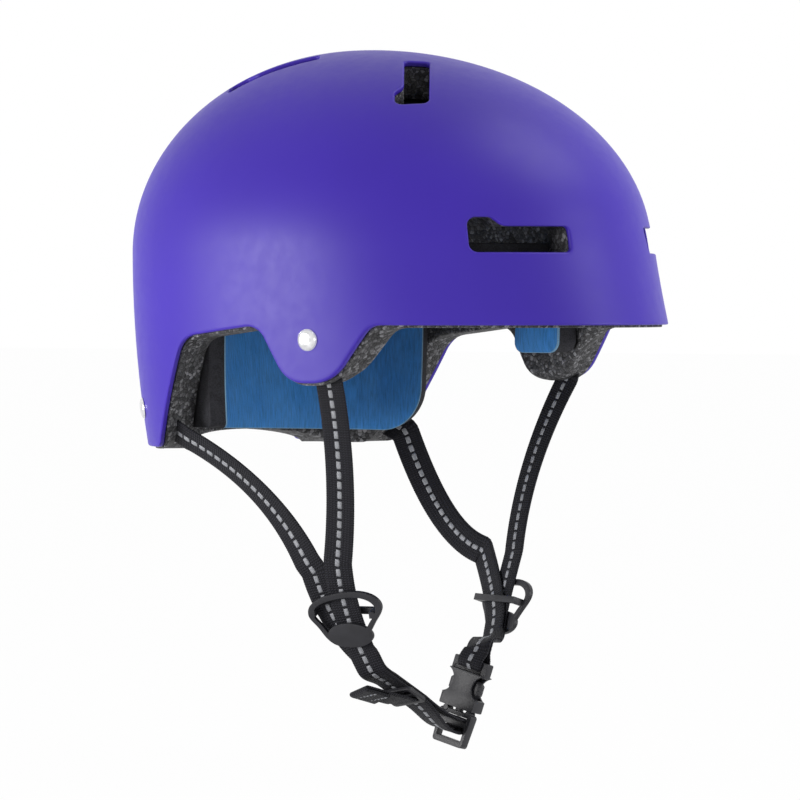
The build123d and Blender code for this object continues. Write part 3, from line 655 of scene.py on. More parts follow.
def shell_finish(colour):
    """Satin painted shell with a fine orange peel and faint handling marks."""
    material, tree, shader = new_material("satin_shell")
    place = object_place(tree)
    drift = noise(tree, place, 9.0, 3.0)
    tones = ramp(tree, drift, ((0.3, shade(colour, 0.93)), (0.7, shade(colour, 1.05))))
    wire(tree, tones, shader.inputs["Base Color"])
    scuffs = noise(tree, place, 160.0, 5.0, 0.65)
    wire(tree, ramp(tree, scuffs, ((0.3, 0.40), (0.7, 0.47))), shader.inputs["Roughness"])
    bump(tree, noise(tree, place, 900.0, 1.0), shader, 0.05, 0.0002)
    set_surface(shader, {"Specular IOR Level": 0.3})
    return material


def foam_finish(colour):
    """Moulded bead foam: small beads in several greys, with dark seams between them."""
    material, tree, shader = new_material("bead_foam")
    place = object_place(tree)
    beads_per_metre = 520.0
    beads = voronoi(tree, place, beads_per_metre)
    gaps = voronoi(tree, place, beads_per_metre, feature="DISTANCE_TO_EDGE").outputs["Distance"]
    split = add(tree, "ShaderNodeSeparateColor")
    wire(tree, beads.outputs["Color"], split.inputs[0])
    stops = ((0.0, shade(colour, 0.45)), (0.4, colour), (0.75, shade(colour, 1.7)), (1.0, shade(colour, 3.6)))
    tones = ramp(tree, split.outputs[0], stops)
    seams = ramp(tree, gaps, ((0.0, 0.25), (0.13, 1.0)))
    wire(tree, mixed_colours(tree, 1.0, tones, seams, "MULTIPLY"), shader.inputs["Base Color"])
    set_surface(shader, {"Roughness": 0.62, "Specular IOR Level": 0.25})
    bump(tree, ramp(tree, gaps, ((0.0, 0.0), (0.35, 1.0))), shader, 0.6, 0.0006)
    return material


def fabric_finish(colour, light):
    """Brushed loop fabric with fine upright ribs; U runs along the pad and V up it."""
    material, tree, shader = new_material("brushed_fabric")
    place = object_place(tree)
    stretch = add(tree, "ShaderNodeMapping", {"Scale": (1100.0, 120.0, 1.0)})
    wire(tree, flat_place(tree), stretch.inputs["Vector"])
    ribs = noise(tree, stretch.outputs["Vector"], 1.0, 2.0)
    nap = noise(tree, place, 2600.0, 3.0, 0.7)
    clouds = noise(tree, place, 60.0, 4.0)
    weave = maths(tree, "ADD", maths(tree, "MULTIPLY", ribs, 0.6), maths(tree, "MULTIPLY", nap, 0.4))
    cloth = ramp(tree, weave, ((0.34, shade(colour, 0.62)), (0.5, colour), (0.68, shade(colour, 1.28))))
    tint = mixed_colours(tree, maths(tree, "MULTIPLY", clouds, 0.22), cloth, light)
    wire(tree, tint, shader.inputs["Base Color"])
    set_surface(shader, {
        "Roughness": 0.85, "Specular IOR Level": 0.15,
        "Sheen Weight": 0.15, "Sheen Roughness": 0.45, "Sheen Tint": (*light, 1),
    })
    bump(tree, weave, shader, 0.5, 0.0004)
    return material


def grained_finish(name, colour, noise_values, stops, surface, relief=None):
    """Surface of one colour in two shades that follow a grain, with the grain's relief."""
    material, tree, shader = new_material(name)
    grain = noise(tree, object_place(tree), *noise_values)
    shades = tuple((place, shade(colour, share)) for place, share in stops)
    wire(tree, ramp(tree, grain, shades), shader.inputs["Base Color"])
    set_surface(shader, surface)
    if relief:
        bump(tree, grain, shader, *relief)
    return material


def cut_edge_finish(colour):
    """Pale cut edge of the pad fabric."""
    stops = ((0.3, 0.75), (0.7, 1.0))
    return grained_finish("fabric_cut_edge", colour, (1800.0, 3.0), stops, {"Roughness": 0.8}, (0.4, 0.0003))


def open_foam_finish(colour):
    """Dark open-cell foam on the cut sides of a pad."""
    material, tree, shader = new_material("open_cell_foam")
    place = object_place(tree)
    cells = voronoi(tree, place, 1500.0).outputs["Distance"]
    mixed = maths(tree, "MULTIPLY", cells, noise(tree, place, 250.0, 3.0))
    wire(tree, ramp(tree, mixed, ((0.05, shade(colour, 2.2)), (0.4, colour))), shader.inputs["Base Color"])
    set_surface(shader, {"Roughness": 0.95})
    bump(tree, cells, shader, 0.5, 0.0005)
    return material


def webbing_finish(colour):
    """Woven webbing with painted shade in the weave's hollows and painted highlights on its ribs: V runs
    along the strap and U across it.
    """
    material, tree, shader = new_material("woven_webbing")
    pick_pitch, warp_pitch = 0.00125, 0.0016
    split = add(tree, "ShaderNodeSeparateXYZ")
    wire(tree, flat_place(tree), split.inputs[0])
    along = maths(tree, "MULTIPLY", split.outputs["Y"], 2 * pi / pick_pitch)
    across = maths(tree, "MULTIPLY", split.outputs["X"], 2 * pi / warp_pitch)
    warp = maths(tree, "SINE", across)
    picks = maths(tree, "SINE", maths(tree, "ADD", along, maths(tree, "MULTIPLY", warp, 0.9)))
    height = maths(tree, "ADD", maths(tree, "MULTIPLY", picks, 0.33), maths(tree, "MULTIPLY", warp, 0.12))
    height = maths(tree, "ADD", height, 0.5)
    fuzz = noise(tree, object_place(tree), 1500.0, 3.0)
    mixed = maths(tree, "ADD", maths(tree, "MULTIPLY", height, 0.75), maths(tree, "MULTIPLY", fuzz, 0.25))
    # Colour follows the weave's relief: painted shade in the hollows between the picks and a painted
    # highlight on their crests, with the fuzz as real random tone
    shades = ramp(tree, mixed, ((0.25, shade(colour, 0.45)), (0.55, colour), (0.9, shade(colour, 2.4))))
    wire(tree, shades, shader.inputs["Base Color"])
    set_surface(shader, {
        "Roughness": 0.6, "Specular IOR Level": 0.15, "Sheen Weight": 0.04, "Sheen Roughness": 0.5,
    })
    bump(tree, mixed, shader, 1.0, 0.0005)
    return material


def thread_finish(colour):
    """Pale reflective thread of the woven dashes."""
    stops = ((0.35, 0.6), (0.65, 1.0))
    surface, relief = {"Roughness": 0.5}, (0.4, 0.0002)
    return grained_finish("reflective_thread", colour, (2200.0, 2.0), stops, surface, relief)


def fitting_finish(colour):
    """Fine-grained moulded plastic."""
    material, tree, shader = new_material("moulded_plastic")
    place = object_place(tree)
    grain = noise(tree, place, 2400.0, 2.0)
    drift = noise(tree, place, 130.0, 3.0)
    wire(tree, ramp(tree, drift, ((0.35, colour), (0.7, shade(colour, 1.35)))), shader.inputs["Base Color"])
    wire(tree, ramp(tree, grain, ((0.3, 0.36), (0.7, 0.5))), shader.inputs["Roughness"])
    set_surface(shader, {"Specular IOR Level": 0.3})
    bump(tree, grain, shader, 0.12, 0.0002)
    return material


def rivet_finish(colour):
    """Bright plated rivet with light brushing and soft stains."""
    material, tree, shader = new_material("plated_rivet")
    place = object_place(tree)
    stains = noise(tree, place, 420.0, 4.0)
    wire(tree, ramp(tree, stains, ((0.35, shade(colour, 0.82)), (0.65, colour))), shader.inputs["Base Color"])
    wire(tree, ramp(tree, stains, ((0.3, 0.12), (0.7, 0.24))), shader.inputs["Roughness"])
    set_surface(shader, {"Metallic": 1.0})
    bump(tree, noise(tree, place, 3000.0, 1.0), shader, 0.06, 0.0001)
    return material


def steel_finish(colour):
    """Plain turned steel for the hidden washers."""
    surface = {"Metallic": 1.0, "Roughness": 0.4}
    return grained_finish("turned_steel", colour, (900.0, 3.0), ((0.35, 0.7), (0.65, 1.0)), surface)


def hook_finish(colour):
    """Hook tape of the pad patches."""
    stops = ((0.4, 1.0), (0.7, 3.0))
    return grained_finish("hook_tape", colour, (1900.0, 2.0), stops, {"Roughness": 0.7}, (0.6, 0.0006))


MAKERS = {
    "shell": shell_finish, "bead_foam": foam_finish, "fabric": fabric_finish, "cut_edge": cut_edge_finish,
    "open_foam": open_foam_finish, "webbing": webbing_finish, "thread": thread_finish,
    "fittings": fitting_finish, "rivets": rivet_finish, "washers": steel_finish, "hook_tape": hook_finish,
}
FINISHES = {}


def finish_of(name):
    """Shared material, made once from the colours in the settings."""
    if name not in FINISHES:
        colours = bpy.context.scene.helmet_colours
        keys = ("fabric", "cut_edge") if name == "fabric" else (name,)
        FINISHES[name] = MAKERS[name](*(tuple(getattr(colours, key)) for key in keys))
    return FINISHES[name]


# Stage

def seen_rays(tree):
    """One for camera, glossy and transmission rays, zero for the rest."""
    path = add(tree, "ShaderNodeLightPath")
    seen = maths(tree, "MAXIMUM", path.outputs["Is Camera Ray"], path.outputs["Is Glossy Ray"])
    return maths(tree, "MAXIMUM", seen, path.outputs["Is Transmission Ray"])


def mixed_output(tree, output, factor, first, second):
    """Mix of two shaders into a tree's output."""
    mixer = add(tree, "ShaderNodeMixShader")
    for source, target in zip((factor, first.outputs[0], second.outputs[0]), mixer.inputs):
        wire(tree, source, target)
    wire(tree, mixer.outputs[0], output.inputs["Surface"])


def stage_finish(name, tone, white_share):
    """Pale matte surface that the camera and mirror rays see nearly white."""
    material = bpy.data.materials.new(name)
    material.use_nodes = True
    tree = material.node_tree
    tree.nodes.clear()
    output = add(tree, "ShaderNodeOutputMaterial")
    matte = add(tree, "ShaderNodeBsdfDiffuse", {"Color": (tone, tone, tone, 1)})
    glow = add(tree, "ShaderNodeEmission", {"Color": (1, 1, 1, 1), "Strength": 1.0})
    mixed_output(tree, output, maths(tree, "MULTIPLY", seen_rays(tree), white_share), matte, glow)
    return material


def area_lamp(name, place, target, size, energy, tint=(1, 1, 1)):
    """Soft rectangular lamp that faces a target; places are in millimetres."""
    data = bpy.data.lights.new(name, "AREA")
    data.shape = "RECTANGLE"
    data.size, data.size_y = size[0] * MM, size[1] * MM
    data.energy = energy
    data.color = tint
    lamp = linked(name, data)
    start = Vector(place) * MM
    lamp.location = start
    lamp.rotation_euler = (Vector(target) * MM - start).to_track_quat("-Z", "Y").to_euler()


class HelmetStageSettings(bpy.types.PropertyGroup):
    """Camera, lamps and floor."""

    azimuth: FloatProperty(
        name="Azimuth", description="Camera's turn about the upright axis, in degrees", default=-50.7)
    elevation: FloatProperty(name="Elevation", description="Camera's height angle, in degrees", default=1.19)
    distance: FloatProperty(
        name="Distance", description="Camera distance in metres", default=2.5, unit="LENGTH")
    lens: FloatProperty(name="Lens", description="Focal length in millimetres", default=222.75)
    target: FloatVectorProperty(
        name="Target", description="Point that the camera faces", size=3,
        default=(0.0, -0.001, -0.03835), subtype="TRANSLATION")
    floor_z: FloatProperty(
        name="Floor height", description="Height of the floor below the head opening",
        default=-0.2250, unit="LENGTH")
    world_strength: FloatProperty(
        name="World light", description="Strength of the even light from all round", default=0.21, min=0.0)


class HELMET_OT_stage(bpy.types.Operator):
    """Make the camera, the lamps, the world light and the pale floor"""

    bl_idname = "helmet.make_stage"
    bl_label = "Make Stage"

    def execute(self, context):
        settings = context.scene.helmet_stage
        turn, rise = radians(settings.azimuth), radians(settings.elevation)
        direction = Vector((sin(turn) * cos(rise), -cos(turn) * cos(rise), sin(rise)))
        target = Vector(settings.target)
        data = bpy.data.cameras.new("photo_camera")
        data.lens = settings.lens
        data.sensor_width = 36.0
        data.clip_end = 50.0
        camera = linked("photo_camera", data)
        camera.location = target + direction * settings.distance
        camera.rotation_euler = (-direction).to_track_quat("-Z", "Y").to_euler()
        context.scene.camera = camera
        context.scene.view_settings.view_transform = "Standard"

        side = Vector((-direction.y, direction.x, 0)).normalized()
        middle = Vector((0, 0, 20.0))

        def spot(along_right, up, towards):
            return middle + side * along_right + Vector((0, 0, up)) + direction * towards

        area_lamp("left_softbox", spot(-1100, -60, 520), middle, (560, 520), 13.0, (1.0, 0.99, 0.98))
        area_lamp("right_softbox", spot(1250, 100, 480), middle, (500, 800), 7.5)
        area_lamp("top_softbox", spot(800, 1250, 100), middle, (900, 900), 8.5)
        area_lamp("front_fill", spot(150, -250, 1900), Vector((0, 0, -90)), (1300, 700), 2.5)

        bpy.ops.mesh.primitive_plane_add(size=1.0)
        floor = context.active_object
        floor.name = "floor"
        floor_size = 30.0
        floor.data.transform(Matrix.Diagonal((floor_size, floor_size, 1.0, 1.0)))
        floor.data.transform(Matrix.Translation((0, 0, settings.floor_z)))
        floor.data.materials.append(stage_finish("pale_floor", 0.8, 0.985))

        world = bpy.data.worlds.new("studio")
        context.scene.world = world
        world.use_nodes = True
        tree = world.node_tree
        tree.nodes.clear()
        output = add(tree, "ShaderNodeOutputWorld")
        soft = add(tree, "ShaderNodeBackground", {"Color": (1, 1, 1, 1), "Strength": settings.world_strength})
        white = add(tree, "ShaderNodeBackground", {"Color": (1, 1, 1, 1), "Strength": 1.0})
        mixed_output(tree, output, seen_rays(tree), soft, white)
        return {"FINISHED"}


# Colours, shell and liner

class HelmetColours(bpy.types.PropertyGroup):
    """Colours of the finishes."""

    shell: colour_of("Shell", "Shell paint", (0.054, 0.024, 0.425))
    bead_foam: colour_of("Liner foam", "Bead foam of the liner", (0.085, 0.085, 0.09))
    fabric: colour_of("Pad fabric", "Brushed fabric of the pads", (0.045, 0.235, 0.62))
    cut_edge: colour_of("Fabric edge", "Pale cut edge of the pad fabric", (0.22, 0.42, 0.62))
    open_foam: colour_of("Pad foam", "Open-cell foam on the pads' sides", (0.018, 0.018, 0.022))
    webbing: colour_of("Webbing", "Woven straps", (0.011, 0.011, 0.015))
    thread: colour_of("Thread", "Reflective thread of the dashes", (0.36, 0.37, 0.40))
    fittings: colour_of("Fittings", "Plastic of the buckle, slide and dividers", (0.02, 0.02, 0.024))
    rivets: colour_of("Rivets", "Plating of the rivets", (0.82, 0.82, 0.84))
    washers: colour_of("Washers", "Steel of the washers", (0.5, 0.5, 0.52))
    hook_tape: colour_of("Hook tape", "Patches behind the pads", (0.015, 0.015, 0.018))


class HelmetShellSettings(bpy.types.PropertyGroup):
    """Sizes of the shell and liner walls."""

    wall: millimetres("Shell wall", "Shell wall", 3.0, 1.0)
    rim: millimetres("Shell rim", "Rounding of the shell's rims", 1.2, 0.2)
    spacing: millimetres("Spacing", "Distance between the shell's points", 3.0, 1.0)
    gap: millimetres("Glue gap", "Gap between shell and liner", 0.3, 0.05)
    liner_wall: millimetres("Liner wall", "Liner wall", 17.5, 5.0)
    ear_rounding: millimetres("Ear rounding", "Extra rounding of the liner's inner rim at the ears", 6.0, 0.0)
    reveal: millimetres("Reveal", "How far the liner stands below the shell", 1.2, 0.0)


class HELMET_OT_shell(bpy.types.Operator):
    """Make the hard outer shell with its vents and rolled rims"""

    bl_idname = "helmet.make_shell"
    bl_label = "Make Shell"

    def execute(self, context):
        settings = context.scene.helmet_shell
        rims = [settings.rim] * OPENINGS
        insets = (0.0, settings.wall)
        points, faces = walled_body(insets, 0.0, settings.spacing, (rims, rims), (1.4, 0.8), (4, 1))
        shell = make_object("outer_shell_surface", points, faces, finish_of("shell"))
        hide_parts("outer_shell")
        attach(shell, "helmet")
        return {"FINISHED"}


class HELMET_OT_liner(bpy.types.Operator):
    """Make the moulded foam liner"""

    bl_idname = "helmet.make_liner"
    bl_label = "Make Liner"

    def execute(self, context):
        settings = context.scene.helmet_shell
        outer = settings.wall + settings.gap
        inner = outer + settings.liner_wall
        edge_step = 1.8
        lower = edge_points(edge_angles(edge_step), inner, settings.reveal)
        ear = np.exp(-((-lower[:, 1] - 32.0) / 17.0) ** 4) * np.clip(-lower[:, 2] / 9.0, 0, 1)
        outer_rim, inner_rim, spacing = 0.8, 1.5, 4.0
        rims_in = [inner_rim + settings.ear_rounding * ear] + [inner_rim] * (OPENINGS - 1)
        rims = ([outer_rim] * OPENINGS, rims_in)
        points, faces = walled_body((outer, inner), settings.reveal, spacing, rims, (edge_step, 1.2), (4, 4))
        liner = make_object("liner_surface", points, faces, finish_of("bead_foam"))
        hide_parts("impact_liner")
        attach(liner, "helmet")
        return {"FINISHED"}


# Places of rivets, straps and fittings

def rivet_place(forward, height, side):
    """Place of a rivet on the shell's outer face, and the outward normal there."""
    start = np.array([[0.0, -forward, height]])
    place = along_rays(start, np.array([[float(side), 0.0, 0.0]]), 0.0)
    return place[0], dome_normals(place, 0.0)[0]


def divider_axes(side):
    """Origin and axes of a strap divider: Y up along the front strap, Z out from its face."""
    turn, lean = radians(17.0), radians(18.0)
    outward = np.array((side * cos(turn) * cos(lean), -sin(turn) * cos(lean), -sin(lean)))
    across = np.array((sin(turn), side * cos(turn), 0.0))
    origin = np.array((side * DIVIDER_PLACE[0], DIVIDER_PLACE[1], DIVIDER_PLACE[2]))
    return origin, across, np.cross(outward, across), outward


def buckle_axes():
    """Origin and axes of the buckle: Y up from the plug to the socket, Z out from its face."""
    roll, lean = radians(13.0), radians(11.0)
    across = np.array((0.0, -cos(roll), -sin(roll)))
    outward = np.array((-cos(lean), -sin(roll) * sin(lean), cos(roll) * sin(lean)))
    return np.array(BUCKLE_PLACE), across, np.cross(outward, across), outward


def in_axes(axes, x, y, z):
    """Point given in a fitting's own axes."""
    return axes[0] + axes[1] * x + axes[2] * y + axes[3] * z


def divider_entry(side, ply):
    """Where a ply enters a divider, and its direction there; ply is 1 in front and -1 behind."""
    axes = divider_axes(side)
    front = 1 if axes[1][1] < 0 else -1
    lift = ply * PLY_STEP / 2
    splay = radians(43.0 if side > 0 else 32.0)
    spread = 0 if ply > 0 else -front * DIVIDER_REACH * tan(splay)
    top = in_axes(axes, spread, DIVIDER_REACH, lift)
    return top, unit(in_axes(axes, 0, 0, lift) - top)


def chin_start(side):
    """Where the doubled webbing leaves a divider, and its direction there."""
    axes = divider_axes(side)
    front = 1 if axes[1][1] < 0 else -1
    splay, reach = (2.0, 13.0) if side > 0 else (9.0, DIVIDER_REACH)
    low = in_axes(axes, front * splay, -reach, 0)
    return low, unit(low - axes[0])


def slide_axes():
    """Middle and axes of the three-bar slide: X down along the strap, Z out from its face."""
    start, fall = chin_start(-1)
    start = start + fall * CLEARANCE
    goal = in_axes(buckle_axes(), 0, PLUG_BAR_Y, 12.0)
    along = unit(goal - start)
    centre = start + (goal - start) * 0.46
    outward = divider_axes(-1)[3]
    outward = unit(outward - along * np.dot(outward, along))
    twist = radians(16.0)
    outward = outward * cos(twist) - np.cross(outward, along) * sin(twist)
    return centre, along, np.cross(outward, along), outward


# Webbing

def bend(start, lead, follow, end, count):
    """Points of a curve that leaves towards one place and arrives from another."""
    t = np.linspace(0, 1, count)[:, None]
    rest = 1 - t
    return start * rest**3 + lead * 3 * rest**2 * t + follow * 3 * rest * t**2 + end * t**3


def turned(first, last, count):
    """Normals that change evenly from one to another."""
    t = np.linspace(0, 1, count)[:, None]
    return unit(first * (1 - t) + last * t)


def pulled_curve(start, control, end, count):
    """Curve from one point to another, pulled towards a third."""
    return bend(start, start + (control - start) * 2 / 3, end + (control - end) * 2 / 3, end, count)


def strap_part(name, side):
    """Strap from its rivet down to the divider."""
    rivet, (x, y, z), ply, pulls = STRAPS[name]
    share, shift, rise = pulls[side]
    place, outward = rivet_place(*rivet, side)
    anchor = place - outward * WEB_DEPTH
    exit_point = np.array((side * x, y, z))
    run = exit_point - anchor
    run = unit(run - outward * np.dot(run, outward)) * ANCHOR_REACH
    meeting, leg = divider_entry(side, ply)
    above = meeting - leg * CLEARANCE
    control = exit_point * (1 - share) + above * share + np.array((0.0, shift, rise))
    curve = pulled_curve(exit_point, control, above, 24)
    facing = divider_axes(side)[3]
    normals = np.vstack((outward, outward, turned(outward, facing, 24), facing))
    return np.vstack((anchor - run, anchor + run, curve, meeting)), normals


def divider_part(side, ply):
    """One ply on its way through the divider."""
    axes = divider_axes(side)
    top, leg = divider_entry(side, ply)
    low, fall = chin_start(side)
    lift = axes[3] * ply * PLY_STEP / 2
    start, control, end = top + leg * 3, axes[0] + lift, low + lift - fall * 3
    if ply < 0 and side < 0:
        control = control - axes[1] * 9.0 - axes[2] * 5.0
    points = np.vstack((pulled_curve(start, control, end, 20), low + lift))
    return points, np.repeat(axes[3][None], len(points), 0)


def left_chin_part(ply):
    """One ply from the left divider down to the socket's bar."""
    axes = buckle_axes()
    meeting, fall = chin_start(1)
    first = meeting + fall * CLEARANCE
    last = in_axes(axes, 0, SOCKET_BAR_Y + 6.2, 0)
    span = np.linalg.norm(last - first)
    points = bend(first, first + fall * span * 0.12, last + axes[2] * span * 0.2, last, 27)
    down = np.array((0.0, 0.0, -1.0))
    normals = np.vstack((turned(divider_axes(1)[3], down, 14), turned(down, -axes[3], 14)[1:]))
    return points + normals * ply * PLY_STEP / 2, normals


def bar_turn():
    """Webbing going round the socket's bar, from its rear side to its face side."""
    axes = buckle_axes()
    profile = [(5.2, 1.5), (3.4, 2.6), (1.6, 3.4), (0.0, 3.6), (-2.0, 3.3), (-3.2, 1.9), (-3.5, 0.0)]
    profile += [(y, -z) for y, z in profile[-2::-1]]
    points = np.array([in_axes(axes, 0, SOCKET_BAR_Y + y, -z) for y, z in profile])
    faces = []
    for index in range(len(profile)):
        before = profile[max(index - 1, 0)]
        after = profile[min(index + 1, len(profile) - 1)]
        run = unit(np.array((after[0] - before[0], after[1] - before[1])))
        faces.append(axes[2] * run[1] + axes[3] * run[0])
    return points, np.array(faces)


def right_chin_part(ply):
    """One ply from the right divider to the far side of the three-bar slide."""
    centre, along, _, outward = slide_axes()
    meeting, fall = chin_start(-1)
    first = meeting + fall * CLEARANCE
    last = centre - along * 12.0
    end = centre + along * SLIDE_REACH
    reach = np.linalg.norm(last - first) / 3
    curve = bend(first, first + fall * reach, last - along * reach, last, 22)
    points = np.vstack((curve, end))
    normals = np.vstack((turned(divider_axes(-1)[3], outward, 22), outward))
    return points + normals * ply * PLY_STEP / 2, normals


def joined(*parts):
    """Parts of a route one after another."""
    return np.vstack([part[0] for part in parts]), np.vstack([part[1] for part in parts])


def turned_back(part):
    """Part of a route run the other way, showing its other face."""
    return part[0][::-1], -part[1][::-1]


def settled(route, step, ease):
    """Route resampled at even steps, with its corners eased over a distance."""
    points, normals = route
    lengths = lengths_along(points)
    keep = np.concatenate(((True,), np.diff(lengths) > 1e-6))
    lengths, points, normals = lengths[keep], points[keep], normals[keep]
    count = int(lengths[-1] / step)
    places = np.linspace(0, lengths[-1], count + 1)
    both = np.stack([np.interp(places, lengths, column) for column in np.hstack((points, normals)).T], -1)
    width = max(1, int(ease / step))
    weights = np.hanning(2 * width + 3)[1:-1]
    weights /= weights.sum()
    half = len(weights) // 2
    soft = both.copy()
    for index, column in enumerate(both.T):
        before = 2 * column[0] - column[half:0:-1]
        after = 2 * column[-1] - column[-2:-half - 2:-1]
        soft[:, index] = np.convolve(np.concatenate((before, column, after)), weights, "valid")
    tangents = unit(np.gradient(soft[:, :3], axis=0))
    facing = soft[:, 3:] - tangents * np.sum(soft[:, 3:] * tangents, axis=1, keepdims=True)
    return soft[:, :3], unit(facing), tangents


def webbing_body(route, width, thickness):
    """Woven band along a settled route: points, faces and a flat map in metres."""
    points, facing, tangents = route
    across = np.cross(facing, tangents)
    travel = lengths_along(points)
    edge = thickness / 2
    flat_reach, side_reach = width / 2 - edge, width / 2 - 0.2 * edge
    section = [(share * flat_reach, edge) for share in (-1.0, -0.72, -0.36, 0.0, 0.36, 0.72, 1.0)]
    section += [(side_reach, 0.5 * edge), (side_reach, -0.5 * edge)]
    section += [(-u, -v) for u, v in section]
    verts, flat_map = [], []
    for row, travelled in enumerate(travel):
        scallop = 0.11 if row % 2 else -0.03
        for u, v in section:
            reach = u + (np.sign(u) * scallop if abs(u) > flat_reach - 0.01 else 0)
            verts.append(points[row] + across[row] * reach + facing[row] * v)
            flat_map.append((reach * MM, travelled * MM))
    size, last = len(section), len(points) - 1
    faces = [(i, i + size, j + size, j) for row in range(last) for i, j in ring_edges(row * size, size)]
    faces.append(tuple(range(size)))
    faces.append(tuple(range(last * size, (last + 1) * size))[::-1])
    return verts, faces, flat_map


def mapped_object(name, bodies, materials, smooth_angle=50.0):
    """One mesh from several bodies of points, faces, flat map and material numbers."""
    verts, faces, flat_map, numbers = [], [], [], []
    for body in bodies:
        shift = len(verts)
        verts.extend(body[0])
        faces.extend(tuple(corner + shift for corner in face) for face in body[1])
        flat_map.extend(body[2])
        numbers.extend(body[3] if len(body) > 3 else [0] * len(body[1]))
    mesh = bpy.data.meshes.new(name)
    mesh.from_pydata(in_metres(verts), [], faces)
    for material in materials:
        mesh.materials.append(material)
    mesh.polygons.foreach_set("material_index", numbers)
    layer = mesh.uv_layers.new(name="UVMap")
    corners = np.zeros(len(mesh.loops), np.int32)
    mesh.loops.foreach_get("vertex_index", corners)
    layer.data.foreach_set("uv", np.array(flat_map, np.float32)[corners].ravel())
    mesh.update()
    turn_outward(mesh)
    smooth(mesh, smooth_angle)
    return linked(name, mesh)


def turn_outward(mesh):
    """Faces turned outwards."""
    work = bmesh.new()
    work.from_mesh(mesh)
    bmesh.ops.recalc_face_normals(work, faces=work.faces)
    work.to_mesh(mesh)
    work.free()


# Repeats along lines and on points

def repeat_tree(name, item, material, along):
    """Geometry nodes that set copies of a small mesh along lines, or on points, facing out."""
    tree = bpy.data.node_groups.new(name, "GeometryNodeTree")
    tree.interface.new_socket(name="Lines", in_out="INPUT", socket_type="NodeSocketGeometry")
    pitch = tree.interface.new_socket(name="Pitch", in_out="INPUT", socket_type="NodeSocketFloat")
    tree.interface.new_socket(name="Geometry", in_out="OUTPUT", socket_type="NodeSocketGeometry")
    start = tree.nodes.new("NodeGroupInput")
    finish = tree.nodes.new("NodeGroupOutput")
    facing = add(tree, "GeometryNodeInputNamedAttribute", {"Name": "facing"}, data_type="FLOAT_VECTOR")
    heading = add(tree, "GeometryNodeInputNamedAttribute", {"Name": "heading"}, data_type="FLOAT_VECTOR")
    turn = add(tree, "FunctionNodeAxesToRotation", primary_axis="Z", secondary_axis="Y")
    wire(tree, facing.outputs["Attribute"], turn.inputs[0])
    wire(tree, heading.outputs["Attribute"], turn.inputs[1])
    spots = start.outputs["Lines"]
    if along:
        line = add(tree, "GeometryNodeMeshToCurve")
        spaced = add(tree, "GeometryNodeResampleCurve", mode="LENGTH")
        wire(tree, spots, line.inputs["Mesh"])
        wire(tree, line.outputs["Curve"], spaced.inputs["Curve"])
        wire(tree, start.outputs["Pitch"], spaced.inputs["Length"])
        spots = spaced.outputs["Curve"]
    thing = add(tree, "GeometryNodeObjectInfo")
    thing.inputs["Object"].default_value = item
    copies = add(tree, "GeometryNodeInstanceOnPoints")
    wire(tree, spots, copies.inputs["Points"])
    wire(tree, thing.outputs["Geometry"], copies.inputs["Instance"])
    wire(tree, turn.outputs["Rotation"], copies.inputs["Rotation"])
    solid = add(tree, "GeometryNodeRealizeInstances")
    coat = add(tree, "GeometryNodeSetMaterial")
    coat.inputs["Material"].default_value = material
    wire(tree, copies.outputs["Instances"], solid.inputs["Geometry"])
    wire(tree, solid.outputs["Geometry"], coat.inputs["Geometry"])
    wire(tree, coat.outputs["Geometry"], finish.inputs["Geometry"])
    return tree, pitch.identifier


def repeated(name, lines, item, material, pitch=0.0):
    """Mesh of small copies along lines of points, normals and headings; pitch 0 sets one on each point."""
    verts, edges, normals, headings = [], [], [], []
    for points, facing, heading in lines:
        shift = len(verts)
        verts.extend(in_metres(points))
        if pitch:
            edges.extend((shift + i, shift + i + 1) for i in range(len(points) - 1))
        normals.extend(facing)
        headings.extend(heading)
    mesh = bpy.data.meshes.new(name + "_lines")
    mesh.from_pydata(verts, edges, [])
    for key, values in (("facing", normals), ("heading", headings)):
        layer = mesh.attributes.new(key, "FLOAT_VECTOR", "POINT")
        layer.data.foreach_set("vector", np.array(values, np.float32).ravel())
    base = linked(name + "_lines", mesh)
    tree, pitch_key = repeat_tree(name, item, material, pitch > 0)
    modifier = base.modifiers.new("repeat", "NODES")
    modifier.node_group = tree
    modifier[pitch_key] = pitch * MM
    graph = bpy.context.evaluated_depsgraph_get()
    result = bpy.data.meshes.new_from_object(base.evaluated_get(graph))
    result.name = name
    for key in ("facing", "heading"):
        if key in result.attributes:
            result.attributes.remove(result.attributes[key])
    bpy.data.objects.remove(base)
    return linked(name, result)


def small_item(name, points, faces):
    """Small mesh to be repeated; points in millimetres."""
    mesh = bpy.data.meshes.new(name)
    mesh.from_pydata(in_metres(points), [], faces)
    smooth(mesh)
    mesh.update()
    turn_outward(mesh)
    return bpy.data.objects.new(name, mesh)


def dash_item(length, width, height):
    """Pillow-shaped patch of raised thread, slightly sunk into the webbing."""
    points, faces = [], []
    columns, rows = 4, 5
    for row in range(rows):
        for column in range(columns):
            u, v = 2 * column / (columns - 1) - 1, 2 * row / (rows - 1) - 1
            narrow = 1 - 0.12 * v**4
            rise = height * (1 - 0.6 * u**4) * (1 - 0.8 * v**6)
            points.append((u * narrow * width / 2, v * length / 2, rise))
    for row in range(rows - 1):
        for column in range(columns - 1):
            corner = row * columns + column
            faces.append((corner, corner + 1, corner + columns + 1, corner + columns))
    rim = list(range(columns)) + [row * columns + columns - 1 for row in range(1, rows)]
    rim += [(rows - 1) * columns + column for column in range(columns - 2, -1, -1)]
    rim += [row * columns for row in range(rows - 2, 0, -1)]
    low = len(points)
    points += [(points[corner][0], points[corner][1], -0.25) for corner in rim]
    faces += [(rim[i], low + i, low + j, rim[j]) for i, j in ring_edges(0, len(rim))]
    faces.append(tuple(range(low, low + len(rim)))[::-1])
    return small_item("dash", points, faces)


